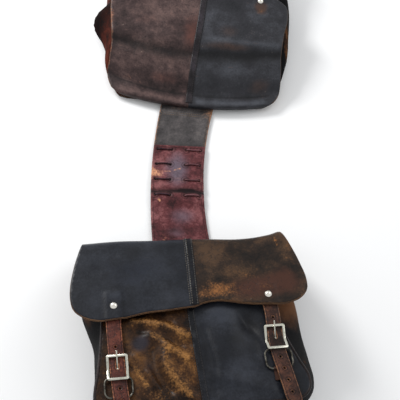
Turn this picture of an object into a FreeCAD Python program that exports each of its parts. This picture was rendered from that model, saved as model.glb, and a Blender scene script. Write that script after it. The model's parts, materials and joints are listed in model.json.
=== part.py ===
import FreeCAD, Part
import math
import os

import Sketcher
from FreeCAD import Placement, Rotation, Vector

# A pair of throw-over leather saddlebags lying on their backs, joined by a laced yoke.
# Millimetres. X runs along the flap ridges, +Y towards the far bag, +Z is up.
#
# Each bag has its own frame: X along its hinge seam, Y away from the yoke, Z up, with its
# origin under the fold seam. Each bag also has a front frame, used for the front panel, the
# flap and the closures: Y runs down the front from the mouth and Z stands off the front.

SIZES = (
    # leather thicknesses
    ("leather", 3.0, "body panels and gussets"),
    ("yoke_leather", 2.6, "the two yoke straps"),
    ("flap_leather", 2.6, "outer layer of the flap"),
    ("lining", 1.2, "inner layer of the flap"),
    ("strap_leather", 2.2, "closure straps"),
    ("chape_wall", 1.0, "leather round a bar in a chape or a tab"),
    # body of each bag
    ("body_width", 300.0, "across the body of a bag"),
    ("back_height", 285.0, "fold seam to the bottom of the back panel"),
    ("front_height", 262.0, "mouth to the bottom of the front panel"),
    ("back_gap", 1.5, "fold seam to the top edge of the back panel"),
    ("gusset_start", 8.0, "fold seam to the top of the side gussets"),
    ("mouth_inset", 6.0, "mouth behind the flap's ridge"),
    ("welt", 4.0, "piping round the front panel"),
    ("seam_strip_width", 11.0, "cover strip over a centre seam"),
    ("seam_strip_leather", 1.4, "thickness of a cover strip"),
    # attitude of each bag, lying on its back
    ("near_top_angle", 77.0, "top of the near flap above the ground"),
    ("near_front_slope", 6.0, "near front panel above the ground"),
    ("near_top_depth", 88.0, "near flap from its seam to its ridge"),
    ("near_turn", 7.0, "near bag turned about the vertical"),
    ("near_shift", -4.0, "near fold seam along X"),
    ("far_top_angle", 28.0, "top of the far flap above the ground"),
    ("far_front_slope", 10.0, "far front panel above the ground"),
    ("far_top_depth", 102.0, "far flap from its seam to its ridge"),
    ("far_turn", -2.5, "far bag turned about the vertical"),
    ("far_shift", 10.0, "far fold seam along X"),
    # flap outline
    ("flap_seam_margin", 1.0, "flap wider than the body at its seam, each side"),
    ("flap_ridge_margin", 7.0, "flap wider than the body at its ridge, each side"),
    ("flap_edge_margin", 27.0, "flap wider than the body at its edge, each side"),
    ("flap_corner", 40.0, "radius of the flap's lower corners"),
    ("flap_start", 1.5, "hinge line to the start of the flap leather"),
    ("lining_inset", 3.0, "lining inside the flap's outline"),
    ("strip_start", 16.0, "hinge line to the start of the flap's cover strip"),
    ("near_buckle_gap", 35.0, "near flap edge to the higher buckle"),
    ("far_buckle_gap", 30.0, "far flap edge to the higher buckle"),
    # closures
    ("strap_width", 22.0, "closure strap"),
    ("strap_inset", 35.0, "closure strap's middle from the side of the body"),
    ("strap_head", 23.0, "strap above its snap"),
    ("left_strap_tail", 80.0, "left strap below its buckle bar"),
    ("right_strap_tail", 106.0, "right strap below its buckle bar"),
    ("strap_hole", 3.6, "diameter of a punched hole"),
    ("hole_pitch", 18.0, "between punched holes"),
    ("bar_clearance", 0.1, "play round a bar, on the radius"),
    ("stack_clearance", 0.25, "between layers of a closure"),
    ("side_clearance", 0.8, "strap to the sides of its buckle"),
    ("flap_clearance", 1.2, "strap to the lining above it"),
    ("ring_wire", 3.0, "wire of a ring"),
    ("ring_length", 30.0, "between the two bars of a ring"),
    ("ring_margin", 4.05, "ring wider than the buckle, each side"),
    ("ring_corner", 9.0, "corner radius of a ring, on the middle of its wire"),
    ("tab_length", 17.0, "ring tab below the ring's bar"),
    ("left_tab_margin", 2.0, "left ring tab above the bottom of the front"),
    ("right_tab_margin", 25.0, "right ring tab above the bottom of the front"),
    ("tab_leather", 2.4, "flat part of a ring tab"),
    ("chape_inset", 2.0, "chape narrower than the strap"),
    ("left_chape", 12.0, "left buckle bar to its ring bar"),
    ("right_chape", 16.0, "right buckle bar to its ring bar"),
    ("frame_length", 38.0, "buckle frame along the strap"),
    ("frame_wire", 3.4, "side and end bars of a buckle frame"),
    ("frame_depth", 3.0, "buckle frame off the strap"),
    ("frame_corner", 3.0, "outer corners of a buckle frame"),
    ("centre_bar", 2.6, "diameter of a buckle's centre bar"),
    ("prong_wire", 2.2, "diameter of a prong"),
    ("prong_eye", 4.0, "prong's eye along the bar"),
    ("prong_clearance", 0.4, "play beside and above a prong"),
    ("snap_margin", 15.0, "flap edge to the middle of a snap"),
    ("cap_radius", 5.7, "snap cap"),
    ("cap_height", 3.2, "dome of a snap cap"),
    ("socket_radius", 5.0, "outside of a snap socket"),
    ("socket_depth", 2.6, "height of a snap socket"),
    ("stud_radius", 1.9, "post of a snap stud"),
    ("stud_flange", 4.5, "radius of a stud's flange"),
    ("stud_flange_depth", 0.6, "thickness of a stud's flange"),
    ("snap_slack", 1.7, "stud to socket, on the radius"),
    ("snap_engagement", 1.6, "stud inside its socket"),
    ("rivet_radius", 3.6, "head of a tab rivet"),
    ("rivet_height", 1.8, "head of a tab rivet above the tab"),
    # yoke
    ("yoke_width", 92.0, "both yoke straps"),
    ("yoke_length", 298.0, "between the two fold seams"),
    ("yoke_end_gap", 5.0, "fold seam to the end of a yoke strap"),
    ("yoke_lift", 0.2, "yoke straps above the back panels, and above each other"),
    ("lap_far_end", 55.0, "far end of the near strap, from the yoke's middle"),
    ("lap_near_end", 56.0, "near end of the far strap, from the yoke's middle"),
    ("step_length", 10.0, "near strap stepping down off the far strap"),
    ("lace_wire", 2.4, "diameter of a lace"),
    ("lace_gap", 0.1, "lace to the strap it crosses"),
    ("lace_hole_play", 1.0, "lace to the side of its hole"),
    ("lace_outer", 38.0, "outer holes of a lace from the middle"),
    ("lace_inner", 13.0, "inner holes of a lace from the middle"),
    ("lace_first", 46.0, "first row of holes, from the yoke's middle"),
    ("lace_pitch", 31.0, "between rows of holes"),
)
LACE_ROWS = 4
STRAP_HOLES = {"left": (-1.8, 1.7, 2.7, 3.7), "right": (-1.8, 1.7, 2.7, 3.7, 4.7)}
BAGS = ("near", "far")
SIDES = (("left", "1"), ("right", "-1"))
ACROSS = Rotation(Vector(0, 1, 0), 90)
ALONG = Rotation(Vector(1, 0, 0), -90)
QUARTER = 90

document = FreeCAD.newDocument("saddlebags")
sizes = document.addObject("Spreadsheet::Sheet", "sizes")
layout = document.addObject("App::VarSet", "layout")
pieces = []


# ---------------------------------------------------------------- sizes and derived values

def fill_sheet():
    """Write every driving size in the sheet, with its alias and its meaning."""
    for row, (alias, value, meaning) in enumerate(SIZES, start=1):
        sizes.set("A%d" % row, alias)
        sizes.set("B%d" % row, str(value))
        sizes.set("C%d" % row, meaning)
        sizes.setAlias("B%d" % row, alias)


def derive(name, formula):
    """Add one value worked out from the sheet."""
    layout.addProperty("App::PropertyFloat", name, "derived")
    layout.setExpression(name, formula)


def derive_levels():
    """Heights of the layers of a closure above the front, and of the yoke above the ground."""
    derive("half_body", "sizes.body_width / 2")
    derive("bar_level", "sizes.ring_wire / 2 + sizes.bar_clearance + sizes.chape_wall"
                        " + sizes.stack_clearance")
    derive("loop_radius", "sizes.ring_wire / 2 + sizes.bar_clearance + sizes.chape_wall")
    derive("strap_level", "layout.bar_level + layout.loop_radius + sizes.stack_clearance")
    derive("strap_top", "layout.strap_level + sizes.strap_leather")
    derive("frame_level", "layout.strap_top + sizes.stack_clearance")
    derive("lining_level", "layout.strap_top + sizes.flap_clearance")
    derive("flap_level", "layout.lining_level + sizes.lining")
    derive("flap_top", "layout.flap_level + sizes.flap_leather")
    derive("lower_level", "sizes.leather + sizes.yoke_lift")
    derive("upper_level", "layout.lower_level + sizes.yoke_leather + sizes.yoke_lift")
    derive("hinge_level", "layout.lower_level + sizes.yoke_leather")
    derive("lace_radius", "sizes.lace_wire / 2")
    derive("lace_low", "layout.lower_level - sizes.lace_gap - layout.lace_radius")
    derive("lace_high", "layout.upper_level + sizes.yoke_leather + sizes.lace_gap + layout.lace_radius")
    derive("lace_hole", "layout.lace_radius + sizes.lace_hole_play")


def derive_closure():
    """Places of a closure's parts down the front, and the widths that fit each other."""
    for side, sign in SIDES:
        derive(f"{side}_ring_lower", f"sizes.front_height - sizes.{side}_tab_margin - sizes.tab_length")
        derive(f"{side}_ring_upper", f"layout.{side}_ring_lower - sizes.ring_length")
        derive(f"{side}_buckle", f"layout.{side}_ring_upper - sizes.{side}_chape")
        derive(f"{side}_strap_end", f"layout.{side}_buckle + sizes.{side}_strap_tail")
    derive("higher_buckle", "min(layout.left_buckle; layout.right_buckle)")
    derive("strap_x", "layout.half_body - sizes.strap_inset")
    derive("frame_inner", "sizes.strap_width / 2 + sizes.side_clearance")
    derive("frame_outer", "layout.frame_inner + sizes.frame_wire")
    derive("ring_half", "layout.frame_outer + sizes.ring_margin")
    derive("chape_width", "sizes.strap_width - sizes.chape_inset")
    derive("chape_leather", "2 * sizes.chape_wall")
    derive("frame_reach", "sizes.frame_length / 2 - sizes.frame_wire")
    derive("prong_lift", "layout.frame_level + sizes.frame_depth - layout.bar_level")
    derive("prong_pass", "sizes.prong_wire / 2 + sizes.prong_clearance")
    derive("prong_rise", "(atan(layout.prong_lift / layout.frame_reach) + asin(layout.prong_pass"
                         " / sqrt(layout.prong_lift ^ 2 + layout.frame_reach ^ 2))) / 1 deg")
    derive("prong_length", "(sizes.frame_length / 2 + sizes.prong_wire) / cos(layout.prong_rise)")
    derive("eye_hole", "sizes.centre_bar / 2 + sizes.bar_clearance")
    derive("eye_radius", "layout.eye_hole + sizes.prong_wire / 2")
    derive("slot_end", "(layout.strap_top - layout.bar_level) / tan(layout.prong_rise)"
                       " + layout.prong_pass / sin(layout.prong_rise)")
    derive("socket_bore", "sizes.stud_radius + sizes.snap_slack")
    derive("stud_top", "layout.lining_level + sizes.snap_engagement")


def derive_bag(bag):
    """Places that depend on how one bag lies: its mouth, its ridge and its flap."""
    top, slope = f"sizes.{bag}_top_angle", f"sizes.{bag}_front_slope"
    depth = f"sizes.{bag}_top_depth"
    derive(f"{bag}_mouth_y", f"{depth} * cos({top}) + layout.flap_top * sin({slope})"
                             f" + sizes.mouth_inset * cos({slope})")
    derive(f"{bag}_mouth_z", f"layout.hinge_level + {depth} * sin({top})"
                             f" - layout.flap_top * cos({slope}) + sizes.mouth_inset * sin({slope})")
    derive(f"{bag}_bend", f"{top} - {slope}")
    derive(f"{bag}_edge", f"layout.higher_buckle - sizes.frame_length / 2 - sizes.{bag}_buckle_gap")
    derive(f"{bag}_snap", f"layout.{bag}_edge - sizes.snap_margin")
    derive(f"{bag}_strap_start", f"layout.{bag}_snap - sizes.strap_head")


# ---------------------------------------------------------------- modelling helpers

def new_body(label):
    """Start one PartDesign piece."""
    return document.addObject("PartDesign::Body", label)


def sketch_on(body, role, level="0"):
    """Attach a new sketch to an origin plane of the body, raised by a level."""
    plane = next(item for item in body.Origin.OriginFeatures if item.Role == role)
    sketch = body.newObject("Sketcher::SketchObject", body.Label + "_sketch")
    sketch.AttachmentSupport = [(plane, "")]
    sketch.MapMode = "FlatFace"
    sketch.setExpression("AttachmentOffset.Base.z", level)
    return sketch


def bind_point(sketch, geometry, end, place):
    """Hold one end of a sketch element at a pair of formulas."""
    for kind, formula in zip(("DistanceX", "DistanceY"), place):
        constraint = Sketcher.Constraint(kind, -1, 1, geometry, end, 1.0)
        number = sketch.addConstraint(constraint)
        sketch.setExpression("Constraints[%d]" % number, formula)


def add_outline(sketch, points):
    """Draw a closed outline through pairs of formulas."""
    count = len(points)
    first = sketch.GeometryCount
    turn = 2 * math.pi / count
    corners = [Vector(math.cos(turn * index), math.sin(turn * index), 0) for index in range(count)]
    for index in range(count):
        line = Part.LineSegment(corners[index], corners[(index + 1) % count])
        sketch.addGeometry(line, False)
    for index in range(count):
        following = first + (index + 1) % count
        sketch.addConstraint(Sketcher.Constraint("Coincident", first + index, 2, following, 1))
    for index, place in enumerate(points):
        bind_point(sketch, first + index, 1, place)


def add_rectangle(sketch, left, low, right, high):
    """Draw a rectangle between two pairs of formulas."""
    add_outline(sketch, [(left, low), (right, low), (right, high), (left, high)])


def add_circle(sketch, x, y, radius):
    """Draw a circle whose place and radius are formulas."""
    number = sketch.addGeometry(Part.Circle(Vector(1, 1, 0), Vector(0, 0, 1), 1), False)
    held = sketch.addConstraint(Sketcher.Constraint("Radius", number, 1.0))
    sketch.setExpression("Constraints[%d]" % held, radius)
    bind_point(sketch, number, 3, (x, y))


def add_pad(body, sketch, length, both_ways=False):
    """Pad a sketch by a formula, upwards or evenly both ways."""
    pad = body.newObject("PartDesign::Pad", body.Label + "_pad")
    pad.Profile = sketch
    pad.Midplane = both_ways
    pad.setExpression("Length", length)
    document.recompute()
    return pad


def add_pocket(body, sketch):
    """Cut a sketch right through the body, both ways, and make sure that it cuts."""
    before = body.Shape.Volume
    pocket = body.newObject("PartDesign::Pocket", body.Label + "_pocket")
    pocket.Profile = sketch
    pocket.Midplane = True
    pocket.setExpression("Length", "4 * sizes.body_width")
    document.recompute()
    if not body.Shape.Volume < before:
        raise RuntimeError(body.Label + ": a pocket cuts nothing")
    return pocket


def round_edges(body, feature, radius, wanted):
    """Round the edges of a feature for which wanted(edge) is true."""
    names = ["Edge%d" % (number + 1) for number, edge in enumerate(feature.Shape.Edges) if wanted(edge)]
    fillet = body.newObject("PartDesign::Fillet", body.Label + "_round")
    fillet.Base = (feature, names)
    fillet.setExpression("Radius", radius)
    document.recompute()


def move_to(solid, place, rotation=None):
    """Put a primitive at three formulas, turned by a fixed rotation."""
    if rotation:
        solid.Placement = Placement(Vector(), rotation)
    for axis, formula in zip("xyz", place):
        solid.setExpression("Placement.Base." + axis, formula)


def cylinder(name, radius, length, place, rotation=None):
    """A cylinder whose sizes and place are formulas; it runs along Z unless it is turned."""
    solid = document.addObject("Part::Cylinder", name)
    solid.setExpression("Radius", radius)
    solid.setExpression("Height", length)
    move_to(solid, place, rotation)
    return solid


def box(name, low, span):
    """A box from a low corner and three spans, all formulas."""
    solid = document.addObject("Part::Box", name)
    for side, formula in zip(("Length", "Width", "Height"), span):
        solid.setExpression(side, formula)
    move_to(solid, low)
    return solid


def sphere(name, radius, place):
    """A ball whose radius and place are formulas."""
    solid = document.addObject("Part::Sphere", name)
    solid.setExpression("Radius", radius)
    move_to(solid, place)
    return solid


def dome(name, radius, height, x, y, level):
    """The top of a ball: a low dome of a given radius and height, standing on a level."""
    ball = f"(({radius}) ^ 2 + ({height}) ^ 2) / (2 * ({height}))"
    solid = document.addObject("Part::Sphere", name)
    solid.setExpression("Radius", ball)
    solid.setExpression("Angle1", f"asin(({ball} - ({height})) / ({ball}))")
    move_to(solid, (x, y, f"{level} + {height} - {ball}"))
    return solid


def fuse(label, solids):
    """Join solids in one piece."""
    joined = document.addObject("Part::MultiFuse", label)
    joined.Shapes = solids
    return joined


def cut(label, base, tool):
    """Take one solid from another."""
    result = document.addObject("Part::Cut", label)
    result.Base = base
    result.Tool = tool
    return result


# ---------------------------------------------------------------- frames and finished pieces

def bag_placement(bag):
    """The bag's own frame: the near bag is turned to face the other way."""
    turn = sizes.get(f"{bag}_turn")
    half_yoke = sizes.get("yoke_length") / 2
    if bag == "near":
        turn += 180
        half_yoke = -half_yoke
    return Placement(Vector(sizes.get(f"{bag}_shift"), half_yoke, 0), Rotation(Vector(0, 0, 1), turn))


def front_placement(bag):
    """The frame of the bag's front panel, with its origin at the middle of the mouth."""
    mouth = Vector(0, getattr(layout, f"{bag}_mouth_y"), getattr(layout, f"{bag}_mouth_z"))
    slope = Rotation(Vector(1, 0, 0), sizes.get(f"{bag}_front_slope"))
    return bag_placement(bag).multiply(Placement(mouth, slope))


def finish(piece, label, placement=None):
    """Keep a piece under its own name, in its place in the assembly."""
    piece.Label = label
    if placement:
        piece.Placement = placement
    pieces.append(piece)


def front_point(bag, down, off):
    """A point of the front frame, written in the bag's own frame."""
    slope = f"sizes.{bag}_front_slope"
    return (f"layout.{bag}_mouth_y + ({down}) * cos({slope}) - ({off}) * sin({slope})",
            f"layout.{bag}_mouth_z + ({down}) * sin({slope}) + ({off}) * cos({slope})")


# ---------------------------------------------------------------- body of a bag

def make_back_panel(bag):
    body = new_body(f"{bag}_back_panel")
    sketch = sketch_on(body, "XY_Plane")
    add_rectangle(sketch, "-layout.half_body", "sizes.back_gap", "layout.half_body", "sizes.back_height")
    add_pad(body, sketch, "sizes.leather")
    finish(body, f"{bag}_back_panel", bag_placement(bag))


def make_gusset_bottom(bag):
    body = new_body(f"{bag}_gusset_bottom")
    sketch = sketch_on(body, "YZ_Plane")
    add_outline(sketch, [
        ("sizes.back_height - sizes.leather", "sizes.leather"),
        ("sizes.back_height", "sizes.leather"),
        front_point(bag, "sizes.front_height", "-sizes.leather"),
        front_point(bag, "sizes.front_height - sizes.leather", "-sizes.leather"),
    ])
    add_pad(body, sketch, "sizes.body_width", both_ways=True)
    finish(body, f"{bag}_gusset_bottom", bag_placement(bag))


def make_gusset_side(bag, side, sign):
    body = new_body(f"{bag}_gusset_{side}")
    inner_face = "-layout.half_body" if sign == "-1" else "layout.half_body - sizes.leather"
    sketch = sketch_on(body, "YZ_Plane", inner_face)
    add_outline(sketch, [
        ("sizes.gusset_start", "sizes.leather"),
        ("sizes.back_height - sizes.leather", "sizes.leather"),
        front_point(bag, "sizes.front_height - sizes.leather", "-sizes.leather"),
        front_point(bag, "0", "-sizes.leather"),
    ])
    add_pad(body, sketch, "sizes.leather")
    finish(body, f"{bag}_gusset_{side}", bag_placement(bag))


def make_front_half(bag, side, sign):
    body = new_body(f"{bag}_front_{side}")
    sketch = sketch_on(body, "XY_Plane", "-sizes.leather")
    add_rectangle(sketch, "0", "0", f"{sign} * layout.half_body", "sizes.front_height")
    add_pad(body, sketch, "sizes.leather")
    finish(body, f"{bag}_front_{side}", front_placement(bag))


def make_front_seam_strip(bag):
    body = new_body(f"{bag}_front_seam_strip")
    sketch = sketch_on(body, "XY_Plane")
    half = "sizes.seam_strip_width / 2"
    add_rectangle(sketch, f"-{half}", "0", half, "sizes.front_height")
    add_pad(body, sketch, "sizes.seam_strip_leather")
    finish(body, f"{bag}_front_seam_strip", front_placement(bag))


def make_front_welt(bag):
    body = new_body(f"{bag}_front_welt")
    sketch = sketch_on(body, "XY_Plane", "-sizes.leather")
    outer, low = "layout.half_body + sizes.welt", "sizes.front_height + sizes.welt"
    add_outline(sketch, [
        (f"-({outer})", "0"), (f"-({outer})", low), (outer, low), (outer, "0"),
        ("layout.half_body", "0"), ("layout.half_body", "sizes.front_height"),
        ("-layout.half_body", "sizes.front_height"), ("-layout.half_body", "0"),
    ])
    add_pad(body, sketch, "sizes.welt")
    finish(body, f"{bag}_front_welt", front_placement(bag))


# ---------------------------------------------------------------- flap

def flap_points(bag, depth, start, end_inset):
    """The flap's line at a depth below its outer face: its start, its ridge and its edge."""
    bend = f"layout.{bag}_bend"
    length = f"(sizes.{bag}_top_depth - ({start}))"
    level = f"layout.flap_top - ({depth})"
    return [
        (f"-sizes.mouth_inset - {length} * cos({bend}) + ({depth}) * sin({bend})",
         f"layout.flap_top - {length} * sin({bend}) - ({depth}) * cos({bend})"),
        (f"-sizes.mouth_inset + ({depth}) * tan({bend} / 2)", level),
        (f"layout.{bag}_edge - ({end_inset})", level),
    ]


def add_flap_layer(body, bag, upper, lower, start="sizes.flap_start", end_inset="0", from_middle="0"):
    """Draw the bent side view of one layer of the flap, between two depths."""
    sketch = sketch_on(body, "YZ_Plane", from_middle)
    outside = flap_points(bag, upper, start, end_inset)
    inside = flap_points(bag, lower, start, end_inset)
    add_outline(sketch, outside + inside[::-1])
    return sketch


def trim_flap_side(body, bag, sign, inset="0"):
    """Cut the flap's flared side, seen from above the front."""
    seam = f"{sign} * (layout.half_body + sizes.flap_seam_margin - ({inset}))"
    ridge = f"{sign} * (layout.half_body + sizes.flap_ridge_margin - ({inset}))"
    edge = f"{sign} * (layout.half_body + sizes.flap_edge_margin - ({inset}))"
    start = f"-sizes.mouth_inset - sizes.{bag}_top_depth"
    beyond = f"{sign} * sizes.body_width"
    sketch = sketch_on(body, "XY_Plane")
    add_outline(sketch, [
        (seam, start),
        (ridge, "-sizes.mouth_inset"),
        (edge, f"layout.{bag}_edge"),
        (edge, f"layout.{bag}_edge + sizes.flap_corner"),
        (beyond, f"layout.{bag}_edge + sizes.flap_corner"),
        (beyond, start),
    ])
    return add_pocket(body, sketch)


def round_flap_corners(body, feature, bag, thickness):
    """Round the lower outside corners of the flap."""
    edge_line = getattr(layout, f"{bag}_edge")
    far_out = layout.half_body

    def is_corner(edge):
        middle = edge.CenterOfMass
        short = edge.Length < thickness * 1.5
        return short and abs(middle.x) > far_out and middle.y > edge_line - 2 * thickness - 1
    round_edges(body, feature, "sizes.flap_corner", is_corner)


def punch_snap_holes(body, bag, signs):
    """Bore the holes that the snap sockets sit in."""
    sketch = sketch_on(body, "XY_Plane")
    for sign in signs:
        add_circle(sketch, f"{sign} * layout.strap_x", f"layout.{bag}_snap", "sizes.socket_radius")
    add_pocket(body, sketch)


def make_flap_half(bag, side, sign):
    body = new_body(f"{bag}_flap_{side}")
    span = "(layout.half_body + sizes.flap_edge_margin)"
    from_middle = f"-{span}" if sign == "-1" else "0"
    sketch = add_flap_layer(body, bag, "0", "sizes.flap_leather", from_middle=from_middle)
    add_pad(body, sketch, span)
    feature = trim_flap_side(body, bag, sign)
    round_flap_corners(body, feature, bag, sizes.get("flap_leather"))
    punch_snap_holes(body, bag, [sign])
    finish(body, f"{bag}_flap_{side}", front_placement(bag))


def make_flap_lining(bag):
    body = new_body(f"{bag}_flap_lining")
    sketch = add_flap_layer(body, bag, "sizes.flap_leather", "sizes.flap_leather + sizes.lining",
                            start="sizes.flap_start + sizes.lining_inset", end_inset="sizes.lining_inset")
    add_pad(body, sketch, "2 * (layout.half_body + sizes.flap_edge_margin)", both_ways=True)
    for side, sign in SIDES:
        feature = trim_flap_side(body, bag, sign, "sizes.lining_inset")
    round_flap_corners(body, feature, bag, sizes.get("lining") + sizes.get("lining_inset"))
    punch_snap_holes(body, bag, [sign for side, sign in SIDES])
    finish(body, f"{bag}_flap_lining", front_placement(bag))


def make_flap_seam_strip(bag):
    body = new_body(f"{bag}_flap_seam_strip")
    sketch = add_flap_layer(body, bag, "-sizes.seam_strip_leather", "0", start="sizes.strip_start")
    add_pad(body, sketch, "sizes.seam_strip_width", both_ways=True)
    finish(body, f"{bag}_flap_seam_strip", front_placement(bag))


def make_snap_caps(bag):
    solids = []
    for side, sign in SIDES:
        x, y = f"{sign} * layout.strap_x", f"layout.{bag}_snap"
        stem_level = "layout.lining_level + sizes.socket_depth"
        solids.append(cylinder(f"{bag}_{side}_cap_stem", "sizes.socket_radius",
                               f"layout.flap_top - ({stem_level})", (x, y, stem_level)))
        solids.append(dome(f"{bag}_{side}_cap_dome", "sizes.cap_radius", "sizes.cap_height",
                           x, y, "layout.flap_top"))
    finish(fuse(f"{bag}_flap_snap_caps", solids), f"{bag}_flap_snap_caps", front_placement(bag))


def make_snap_sockets(bag):
    tubes = []
    for side, sign in SIDES:
        place = (f"{sign} * layout.strap_x", f"layout.{bag}_snap", "layout.lining_level")
        outside = cylinder(f"{bag}_{side}_socket_outside", "sizes.socket_radius", "sizes.socket_depth", place)
        bore = cylinder(f"{bag}_{side}_socket_bore", "layout.socket_bore", "sizes.socket_depth", place)
        tubes.append(cut(f"{bag}_{side}_socket", outside, bore))
    finish(fuse(f"{bag}_flap_snap_sockets", tubes), f"{bag}_flap_snap_sockets", front_placement(bag))


# ---------------------------------------------------------------- closures

def make_ring_tabs(bag):
    tabs = []
    for side, sign in SIDES:
        name = f"{bag}_{side}_tab"
        low_x = f"{sign} * layout.strap_x - layout.chape_width / 2"
        bar = (low_x, f"layout.{side}_ring_lower", "layout.bar_level")
        loop = cylinder(name + "_loop", "layout.loop_radius", "layout.chape_width", bar, ACROSS)
        flat = box(name + "_flat", (low_x, f"layout.{side}_ring_lower", "0"),
                   ("layout.chape_width", "sizes.tab_length", "sizes.tab_leather"))
        hole = cylinder(name + "_hole", "sizes.ring_wire / 2 + sizes.bar_clearance",
                        "layout.chape_width", bar, ACROSS)
        tabs.append(cut(name, fuse(name + "_leather", [loop, flat]), hole))
    finish(fuse(f"{bag}_ring_tabs", tabs), f"{bag}_ring_tabs", front_placement(bag))


def make_tab_rivets(bag):
    heads = []
    for side, sign in SIDES:
        heads.append(dome(f"{bag}_{side}_rivet", "sizes.rivet_radius", "sizes.rivet_height",
                          f"{sign} * layout.strap_x", f"layout.{side}_ring_lower + sizes.tab_length * 2 / 3",
                          "sizes.tab_leather"))
    finish(fuse(f"{bag}_tab_rivets", heads), f"{bag}_tab_rivets", front_placement(bag))


def make_ring(bag, side, sign):
    name = f"{bag}_{side}_ring"
    wire = "sizes.ring_wire / 2"
    middle = f"{sign} * layout.strap_x"
    corner_x = "(layout.ring_half - sizes.ring_corner)"
    low, high = f"layout.{side}_ring_upper", f"layout.{side}_ring_lower"
    solids = []
    for number, bar in enumerate((low, high)):
        solids.append(cylinder(f"{name}_bar{number}", wire, f"2 * {corner_x}",
                               (f"{middle} - {corner_x}", bar, "layout.bar_level"), ACROSS))
    for number, way in enumerate(("-1", "1")):
        solids.append(cylinder(f"{name}_side{number}", wire, "sizes.ring_length - 2 * sizes.ring_corner",
                               (f"{middle} + {way} * layout.ring_half", f"{low} + sizes.ring_corner",
                                "layout.bar_level"), ALONG))
    corners = (("1", f"{high} - sizes.ring_corner"), ("-1", f"{high} - sizes.ring_corner"),
               ("-1", f"{low} + sizes.ring_corner"), ("1", f"{low} + sizes.ring_corner"))
    for number, (way, along) in enumerate(corners):
        bend = document.addObject("Part::Torus", f"{name}_bend{number}")
        bend.setExpression("Radius1", "sizes.ring_corner")
        bend.setExpression("Radius2", wire)
        bend.Angle3 = QUARTER
        move_to(bend, (f"{middle} + {way} * {corner_x}", along, "layout.bar_level"),
                Rotation(Vector(0, 0, 1), QUARTER * number))
        solids.append(bend)
    finish(fuse(name, solids), name, front_placement(bag))


def make_chape(bag, side, sign):
    name = f"{bag}_{side}_chape"
    buckle = f"layout.{side}_buckle"
    low_x = f"{sign} * layout.strap_x - layout.chape_width / 2"
    ring_bar = (low_x, f"layout.{side}_ring_upper", "layout.bar_level")
    buckle_bar = (low_x, buckle, "layout.bar_level")
    solids = [
        cylinder(name + "_ring_loop", "layout.loop_radius", "layout.chape_width", ring_bar, ACROSS),
        cylinder(name + "_bar_loop", "layout.eye_hole + sizes.chape_wall", "layout.chape_width",
                 buckle_bar, ACROSS),
        box(name + "_flat", (low_x, buckle, "layout.bar_level - layout.chape_leather / 2"),
            ("layout.chape_width", f"sizes.{side}_chape", "layout.chape_leather")),
    ]
    half_notch = "(sizes.prong_eye / 2 + sizes.prong_clearance)"
    reach = "(layout.eye_radius + sizes.prong_clearance)"
    holes = [
        cylinder(name + "_ring_hole", "sizes.ring_wire / 2 + sizes.bar_clearance",
                 "layout.chape_width", ring_bar, ACROSS),
        cylinder(name + "_bar_hole", "layout.eye_hole", "layout.chape_width", buckle_bar, ACROSS),
        box(name + "_notch", (f"{sign} * layout.strap_x - {half_notch}", f"{buckle} - {reach}", "0"),
            (f"2 * {half_notch}", f"2 * {reach}", "2 * layout.bar_level")),
    ]
    leather = fuse(name + "_leather", solids)
    finish(cut(name, leather, fuse(name + "_holes", holes)), name, front_placement(bag))


def make_buckle_frame(bag, side, sign):
    """A dished rectangular frame: its ends stand over the strap, its centre bar lies under it."""
    name = f"{bag}_{side}_buckle_frame"
    body = new_body(name)
    buckle, middle = f"layout.{side}_buckle", f"{sign} * layout.strap_x"
    half, reach = "sizes.frame_length / 2", "layout.frame_reach"
    low = "layout.bar_level - sizes.frame_depth / 2"
    high = "layout.bar_level + sizes.frame_depth / 2"
    waist = "sizes.centre_bar"
    top = "layout.frame_level + sizes.frame_depth"
    band = sketch_on(body, "YZ_Plane", middle)
    add_outline(band, [
        (f"{buckle} - {waist}", low), (f"{buckle} + {waist}", low),
        (f"{buckle} + {reach}", "layout.frame_level"), (f"{buckle} + {half}", "layout.frame_level"),
        (f"{buckle} + {half}", top), (f"{buckle} + {reach}", top),
        (f"{buckle} + {waist}", high), (f"{buckle} - {waist}", high),
        (f"{buckle} - {reach}", top), (f"{buckle} - {half}", top),
        (f"{buckle} - {half}", "layout.frame_level"), (f"{buckle} - {reach}", "layout.frame_level"),
    ])
    add_pad(body, band, "2 * layout.frame_outer", both_ways=True)
    window = sketch_on(body, "XY_Plane")
    add_rectangle(window, f"{middle} - layout.frame_inner", f"{buckle} - {reach}",
                  f"{middle} + layout.frame_inner", f"{buckle} + {reach}")
    feature = add_pocket(body, window)
    bar = sketch_on(body, "YZ_Plane", middle)
    add_circle(bar, buckle, "layout.bar_level", "sizes.centre_bar / 2")
    feature = add_pad(body, bar, "2 * layout.frame_inner + sizes.frame_wire", both_ways=True)
    centre = float(sign) * layout.strap_x
    reach_out = layout.frame_outer

    def is_corner(edge):
        upright = abs(edge.tangentAt(edge.FirstParameter).z) > 0.99
        middle_point = edge.CenterOfMass
        at_side = abs(abs(middle_point.x - centre) - reach_out) < 0.01
        at_end = middle_point.z > layout.frame_level
        return upright and at_side and at_end
    round_edges(body, feature, "sizes.frame_corner", is_corner)
    finish(body, name, front_placement(bag))


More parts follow.
